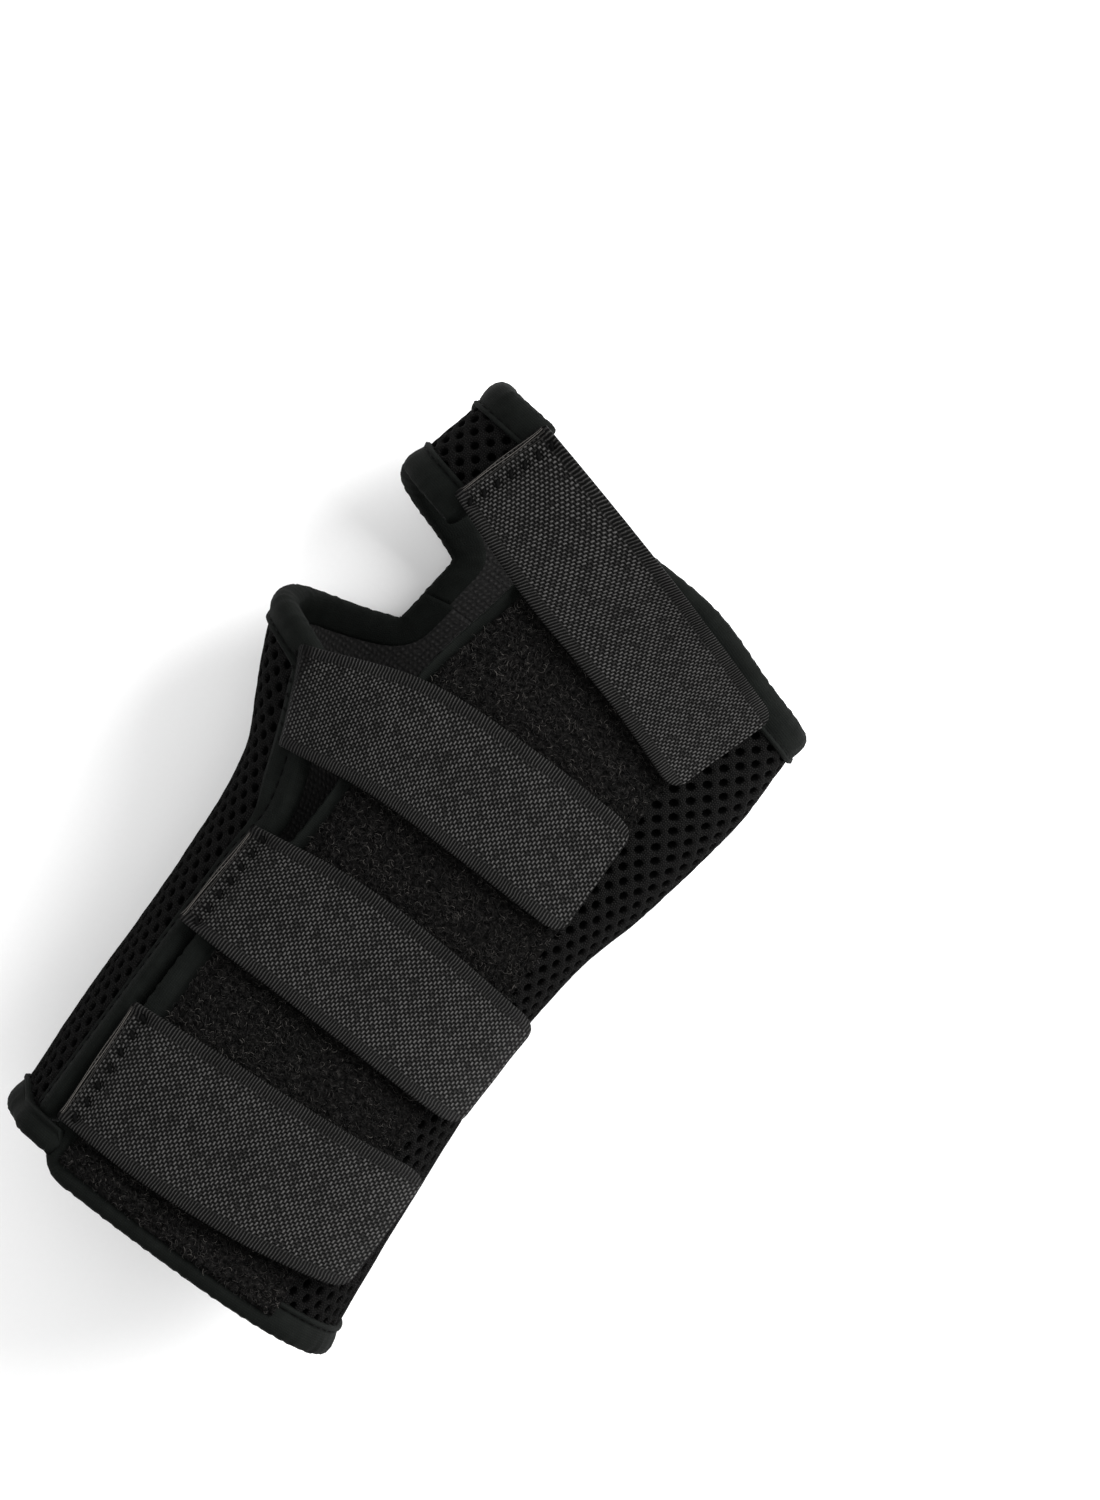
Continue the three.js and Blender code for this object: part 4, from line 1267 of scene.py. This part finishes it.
def loop_panel():
    """The panel that the hooks hold on, with its pile and the stitches round it."""
    v, u = grid((0, 1, 130), (0, 1, 50))
    y = mix(PROXIMAL_Y + 0.8, ulnar_distal(0.6 * u) - 1.6, v)
    left = sleeve.around_at_x(ulnar_flap_edge(y) + 0.2, y, WALL + 1)
    right = sleeve.around_at_x(loop_right(y), y, WALL + 1)
    around = mix(left, right, u)
    over_tape = 0.95 * (1 - ease(y, PROXIMAL_Y + 3.6, PROXIMAL_Y + 6.6))
    border = np.minimum(np.minimum(u, 1 - u) * 52, np.minimum(v, 1 - v) * 168)
    sewn = 0.45 * np.exp(-((border - 2.0) / 0.5) ** 2)
    plush = 0.2 * ease(border, 0.0, 1.2)
    lumps = ripple(around * 1.3, y * 1.3, 0.10, 5)
    outer = sleeve.place(around, y, LOOP_FACE + over_tape + plush - sewn + lumps)
    inner = sleeve.place(around, y, LOOP_BACK + over_tape)
    cloth = stacked(around, y, 0)
    panel = closed_cloth("loop_pile_panel", outer, inner, 0.15, cloth, "pile", "loop_pile")
    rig.replaces(panel, "loop_panel")
    hairs = [pile_hairs(outer, inner, half) for half in (0, 1)]
    edge = stacked(around, y)
    inset = np.concatenate([edge[3:-2, 2], edge[-3, 2:-2], edge[-3:2:-1, -3], edge[2, -3:2:-1]])
    path = resampled(inset, 0.5)
    spots = on_sleeve(path, np.where(path[:, 1] < PROXIMAL_Y + 4, LOOP_FACE + 0.85, LOOP_FACE))
    first = np.arange(0, len(path) - 5, 6)
    thread = stitches("loop_panel_stitches", spots[first], spots[first + 4], radius=0.16)
    return [panel, *hairs, thread]


def pile_hairs(outer, inner, half):
    """The pile on one half of the panel's length."""
    count = 9600
    rows, columns = outer.shape[:2]
    k = (random.random(count) + half) / 2 * (rows - 1.001)
    m = random.random(count) * (columns - 1.001)
    low_k, low_m = k.astype(int), m.astype(int)
    share_k, share_m = (k - low_k)[:, None], (m - low_m)[:, None]

    def sampled(points):
        first = mix(points[low_k, low_m], points[low_k, low_m + 1], share_m)
        second = mix(points[low_k + 1, low_m], points[low_k + 1, low_m + 1], share_m)
        return mix(first, second, share_k)

    roots = sampled(outer)
    normals = roots - sampled(inner)
    normals /= np.linalg.norm(normals, axis=1, keepdims=True)
    lengths, heights = random.uniform(0.8, 1.7, count), random.uniform(0.15, 0.5, count)
    curls = random.uniform(0.8, 3.6, count)
    clump = 0.5 + ripple(roots[:, 0] * 9, roots[:, 1] * 9, 0.5)
    shade = np.clip(random.random(count) * 0.75 + 0.25 * clump, 0, 1)
    centres = curled(roots, normals, lengths, heights, curls)
    return swept(f"loop_pile_hairs_{half + 1}", centres, normals, 0.055, shade, "fibre", "loop_pile")


# ---- Straps ----


def strap_plan(n, u, v):
    """Plan point on strap n: u from the sewn end to the free end, v from the arm to the fingers. Before
    the sewn end, where u is below 0, it runs straight on."""
    small = 0.02

    def edge(points):
        at = np.arange(len(points)) / (len(points) - 1)
        curves = [profile(stacked(at, values)) for values in np.array(points, float).T]
        start, next_to_it = (np.array([curve(np.array(t)) for curve in curves]) for t in (0.0, small))
        inside = np.stack([curve(u) for curve in curves], -1)
        return inside + (next_to_it - start) / small * np.minimum(u, 0)[..., None]

    strap = STRAPS[n - 1]
    return mix(edge(strap["arm"]), edge(strap["finger"]), v[..., None])


def strap_chart(n, u, v):
    """Distance round the sleeve and y of a place on strap n."""
    plan = strap_plan(n, u, v)
    return stacked(sleeve.around_at_x(plan[..., 0], plan[..., 1], STRAP_INNER), plan[..., 1])


def strap_size(n):
    """Length and width of strap n."""
    middle = strap_plan(n, np.linspace(0, 1, 60), np.full(60, 0.5))
    edges = strap_plan(n, np.array([0.5, 0.5]), np.array([0.0, 1.0]))
    return lengths_along(middle)[-1], np.linalg.norm(edges[1] - edges[0])


STITCH_COUNT = 7
STITCH_ROW = 3.2
STRAP_LIFT = 1.3
LEG_DROP = 2.9
LEG_LENGTH = 3.6
CORNER_RADIUS = 3.8


def leg_start(v):
    """How far before the fold the leg of the second strap meets the cloth, in millimetres."""
    return 1.0 + 3.4 * v


def strap_height(n, u, v):
    """Distance of the strap's inner face out from the sleeve's."""
    strap = STRAPS[n - 1]
    length, width = strap_size(n)
    from_edge = np.minimum(v, 1 - v) * width
    height = STRAP_INNER + STRAP_LIFT * ease(u, strap["sewn"], strap["hook"][0])
    if n == 2:
        start = -leg_start(v)
        return height - LEG_DROP * (1 - ease(u * length, start, start + LEG_LENGTH))
    row = np.exp(-((u * length - STITCH_ROW) / 1.6) ** 2)
    pressed = 0.35 * row + 0.25 * (1 - ease(u, strap["sewn"], 2 * strap["sewn"]))
    return height - pressed * ease(from_edge, 0.5, 2.5)


def stitch_dimples(u, v, length):
    """Depth of the hollows that the sewn end's stitches pull into its outer face."""
    near_row = np.exp(-(((u * length - STITCH_ROW) / 1.1) ** 2))
    return 0.6 * near_row * (0.5 + 0.5 * np.cos(2 * math.pi * (STITCH_COUNT * v - 0.5)))


def strap_band(n):
    """The webbing of strap n, with rounded corners at its free end."""
    length, width = strap_size(n)
    columns, rows = int(length / 0.55), int(width / 0.55)
    v, s = grid((0, 1, rows), (0, 1, columns))
    from_edge = np.minimum(v, 1 - v) * width
    inset = np.maximum(CORNER_RADIUS - from_edge, 0)
    cut = (CORNER_RADIUS - np.sqrt(np.maximum(CORNER_RADIUS**2 - inset**2, 0))) / length
    start = -leg_start(v) / length if n == 2 else cut * 0.12
    u = mix(start, 1 - cut, s)
    chart = strap_chart(n, u, v)
    selvedge = 0.12 * np.exp(-((from_edge - 1.2) / 0.9) ** 2)
    sag = 0.10 * ease(from_edge, 1.5, 4.0)
    inner_out = strap_height(n, u, v) + ripple(u * length * 0.6, v * width, 0.14, n)
    dimples = 0 if n == 2 else stitch_dimples(u, v, length)
    outer = sleeve.at(chart, inner_out + STRAP_THICKNESS + selvedge - sag - dimples)
    inner = sleeve.at(chart, inner_out)
    cloth = stacked(u * length, v * width, from_edge)
    band = closed_cloth(f"strap_{n}_webbing", outer, inner, 0.18, cloth, "webbing", "webbing")
    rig.replaces(band, f"strap_{n}_sewn_end", f"strap_{n}_band")
    return band


def peel_blend(piece, n):
    """Bends a strap round the line that it peels about."""
    sewn = np.full(2, STRAPS[n - 1]["sewn"])
    fold = sleeve.at(strap_chart(n, sewn, np.array([0.0, 1.0])), STRAP_INNER + STRAP_THICKNESS + 1.2)
    run = sleeve.at(strap_chart(n, np.array([sewn[0], 0.3]), np.full(2, 0.5)), STRAP_INNER)
    arm, finger, first, second = (Vector(point) for point in in_frame(np.concatenate([fold, run])))
    line = (finger - arm).normalized()
    forward = second - first
    forward = (forward - forward.dot(line) * line).normalized()
    middle = (arm + finger) / 2
    start, end = middle - forward * 2 * MM, middle + forward * 3.5 * MM
    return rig.blend(piece, STRAPS[n - 1]["body"], f"strap_{n}", start=start, end=end)


def strap_stitches(n):
    """The row of slanted stitches across the sewn end. The second strap's lies on the foot of its leg."""
    length, width = strap_size(n)
    v = (np.arange(STITCH_COUNT) + 0.5) / STITCH_COUNT
    row = 0.7 - leg_start(v) if n == 2 else np.full(STITCH_COUNT, STITCH_ROW)
    sunk = 0.1 if n == 2 else 0.35
    ends = []
    for side in (-0.75, 0.75):
        across = np.clip(v - side * 1.1 / width, 0.02, 0.98)
        u = (row + side) / length
        out = strap_height(n, u, across) + STRAP_THICKNESS - sunk
        ends.append(on_sleeve(strap_chart(n, u, across), out))
    thread = stitches(f"strap_{n}_stitches", *ends, radius=0.45, sag=0.22)
    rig.replaces(thread, f"strap_{n}_stitching")
    return thread


def cut_edge(n):
    """Light warp threads along the cut edge of a sewn end."""
    length, _ = strap_size(n)
    v = np.linspace(0.04, 0.96, 60)
    centres = []
    for k, at in enumerate((0.25, 0.62, 1.0, 1.4)):
        u = (at + 0.1 * np.sin(9 * v + 2 * k)) / length
        chart = strap_chart(n, u, v)
        centres.append(sleeve.at(chart, strap_height(n, u, v) + STRAP_THICKNESS + 0.05))
    up = on_sleeve(chart[30:31], 8.0)[:, 3:]
    shade = np.array([0.9, 1.0, 0.8, 0.6])
    name = f"strap_{n}_cut_edge"
    return swept(name, np.stack(centres), np.tile(up, (4, 1)), 0.1, shade, "fibre", "webbing")


def hook_pad(n):
    """The moulded hook pad under the free end of a strap, with its rows of hooks."""
    length, width = strap_size(n)
    start, end = STRAPS[n - 1]["hook"]
    v, u = grid((0.06, 0.94, 30), (start, end, 50))
    chart = strap_chart(n, u, v)
    outer, inner = sleeve.at(chart, HOOK_TOP), sleeve.at(chart, HOOK_TOP - 0.45)
    cloth = stacked(u * length, v * width, 0)
    pad = closed_cloth(f"strap_{n}_hook_tape", outer, inner, 0.05, cloth, "hook", "hook_tape")
    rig.replaces(pad, f"strap_{n}_hook_pad")
    across, along = int(width / 1.1), int(length * (end - start))
    v, u = grid((0.09, 0.91, across), (start + 0.01, end - 0.01, along))
    spots = on_sleeve(strap_chart(n, u.ravel(), v.ravel()), HOOK_TOP - 0.4)
    down = -spots[:, 3:]
    lengths, heights, curls, shade = (np.full(len(spots), value) for value in (0.6, 0.5, 0.9, 0.3))
    centres = curled(spots[:, :3], down, lengths, heights, curls)
    hooks = swept(f"strap_{n}_hooks", centres, down, 0.1, shade, "hook", "hook_tape")
    for piece in (pad, hooks):
        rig.ride(piece, f"strap_{n}")


def straps():
    for n in range(1, 5):
        peel_blend(strap_band(n), n)
        body = STRAPS[n - 1]["body"]
        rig.ride(strap_stitches(n), body)
        if n != 2:
            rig.ride(cut_edge(n), body)
        hook_pad(n)


# ---- Stay and pocket ----


def rounded_end(t, length, least):
    """1 up to the last length before t reaches 1, and from there a quarter circle down to about 0."""
    return np.sqrt(np.maximum(1 - (np.maximum(t - 1 + length, 0) / length) ** 2, least))


def over_stay(t):
    """1 on the part of the pocket that covers the stay, 0 where it is sewn down beside it."""
    return 1 - ease(abs(t), 0.60, 0.80)


def stay():
    """The aluminium stay: a bar with rounded ends and softened edges, bent to the bow."""
    length = STAY_ENDS[1] - STAY_ENDS[0]
    s, t = grid((0, 1, 150), (-1, 1, 24))
    along = s * length
    from_end = np.minimum(along, length - along)
    narrow = np.sqrt(np.maximum(1 - np.maximum(1 - from_end / STAY_HALF_WIDTH, 0) ** 2, 0.0009))
    x = STAY_X + t * STAY_HALF_WIDTH * narrow
    y = STAY_ENDS[0] + along
    soft = 0.35 * (1 - rounded_end(abs(t), 0.07, 0))
    outer = stacked(x, y, bow(y) - STAY_LAYER[1] + soft)
    inner = stacked(x, y, bow(y) - STAY_LAYER[0] - soft)
    bar = closed_cloth("stay_bar", outer, inner, 0.2, stacked(along, x, 0), "stay", "aluminium_stay")
    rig.replaces(bar, "palmar_stay")
    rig.ride(bar, "stay")


def pocket():
    """The pocket's cover: cloth raised over the stay, sewn down along both sides and the finger end."""
    s, t = grid((0, 1, 220), (-1, 1, 70))
    x = STAY_X + t * POCKET_HALF_WIDTH
    y = mix(*POCKET_ENDS, s)
    raised = over_stay(t) * (1 - ease(y, STAY_ENDS[1] + 0.5, STAY_ENDS[1] + 4.5))
    sewn = 0.35 * np.exp(-((abs(t) * POCKET_HALF_WIDTH - POCKET_SEAM_X) / 0.5) ** 2)
    crown = 0.35 * (1 - (t / 0.6) ** 2) * raised
    under = 4.45 + 2.6 * raised
    over = under + 1.25 - sewn + crown + ripple(x, y, 0.12, 9)
    outer, inner = (stacked(x, y, bow(y) - below) for below in (over, under))
    cloth = stacked(y, x, 0)
    cover = closed_cloth("stay_pocket_cloth", outer, inner, 0.25, cloth, "binding", "binding")
    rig.replaces(cover, "stay_pocket_cover")
    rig.padded(cover, fill=0.3)
    for piece in (cover, mouth_hem(), pocket_stitches()):
        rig.ride(piece, "palm_side")


def mouth_hem():
    """The rolled hem across the pocket's mouth."""
    t = np.linspace(-1, 1, 60)[:, None]
    turn = np.arange(14) * math.pi / 7
    shrink = rounded_end(abs(t), 0.06, 0.03)
    x = STAY_X + t * POCKET_HALF_WIDTH
    y = POCKET_MOUTH_Y + 1.9 * np.cos(turn) * shrink
    z = bow(y) - (5.25 + 2.75 * over_stay(t) + 0.75 * np.sin(turn) * shrink)
    points = stacked(x, y, z).reshape(-1, 3)
    cloth = stacked(x, turn * 1.4, 0).reshape(-1, 3)
    faces = tube_faces(1, len(t), len(turn))
    hem = new_piece("stay_pocket_mouth", points, faces, cloth, "binding", "binding")
    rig.replaces(hem, "stay_pocket_mouth_binding")
    return hem


def pocket_stitches():
    """Rows of stitches along both sides of the pocket and across its finger end."""
    pitch, length = 2.8, 2.0
    rows = []
    along = np.arange(-79.0, 75.0, pitch)
    for x in (STAY_X - POCKET_SEAM_X, STAY_X + POCKET_SEAM_X):
        rows.append([stacked(x, y, bow(y) - 5.45) for y in (along, along + length)])
    across = np.arange(STAY_X - 13.5, STAY_X + 12, pitch)
    level = bow(POCKET_SEAM_Y) - 5.75
    rows.append([stacked(x, POCKET_SEAM_Y, level) for x in (across, across + length)])
    starts, ends = (np.concatenate(points) for points in zip(*rows))
    down = np.tile((0, 0, -1), (len(starts), 1))
    return stitches("stay_pocket_stitches", np.hstack([starts, down]), np.hstack([ends, down]))


# ---- Stage ----


def add_object(name, data, location, rotation=(0, 0, 0)):
    thing = bpy.data.objects.new(name, data)
    thing.location = location
    thing.rotation_euler = rotation
    bpy.context.scene.collection.objects.link(thing)
    return thing


def area_light(name, location, target, size, power):
    data = bpy.data.lights.new(name, "AREA")
    data.shape = "DISK"
    data.size = size
    data.energy = power
    aim = Vector(target) - Vector(location)
    add_object(name, data, location, aim.to_track_quat("-Z", "Y").to_euler())


def stage():
    """A pale floor, a soft world, and a key and a fill light."""
    half = 3.0
    mesh = bpy.data.meshes.new("floor")
    corners = [(-half, -half, 0), (half, -half, 0), (half, half, 0), (-half, half, 0)]
    mesh.from_pydata(corners, [], [(0, 1, 2, 3)])
    mesh.materials.append(floor_material())
    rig.stage(add_object("floor", mesh, (0, 0, -0.0005)))
    world = bpy.data.worlds.new("studio")
    world.use_nodes = True
    background = world.node_tree.nodes["Background"]
    background.inputs["Color"].default_value = (1, 1, 1, 1)
    background.inputs["Strength"].default_value = 0.85
    bpy.context.scene.world = world
    area_light("key", (0.30, 0.44, 0.38), (0, 0.06, 0.04), 0.55, 7.5)
    area_light("fill", (-0.3, -0.2, 1.2), (0, 0, 0.03), 1.4, 5)
    bpy.context.scene.view_settings.view_transform = "Standard"


def camera():
    """Straight down on the back of the hand, turned so that the arm comes in from the lower left."""
    distance, height_seen, turn = 0.95, 0.3125, 36.3
    data = bpy.data.cameras.new("camera")
    data.lens = data.sensor_width / 2 / (height_seen / 2 / distance)
    data.dof.use_dof = False
    location = (0.0118, 0.0368, 0.048 + distance)
    bpy.context.scene.camera = add_object("camera", data, location, (0, 0, math.radians(turn)))


camera()
stage()
for pieces, fold, body in (ulnar_section(), radial_section(), web_section()):
    for piece in pieces:
        fold_blend(piece, fold, body)
for piece in loop_panel():
    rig.ride(piece, "ulnar_flap")
straps()
stay()
pocket()

new_low, new_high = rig.bounds()
with open("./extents.json", "w") as sizes:
    json.dump({
        "cad": [list(cad_low), list(cad_high)],
        "visual": [list(new_low), list(new_high)],
    }, sizes)
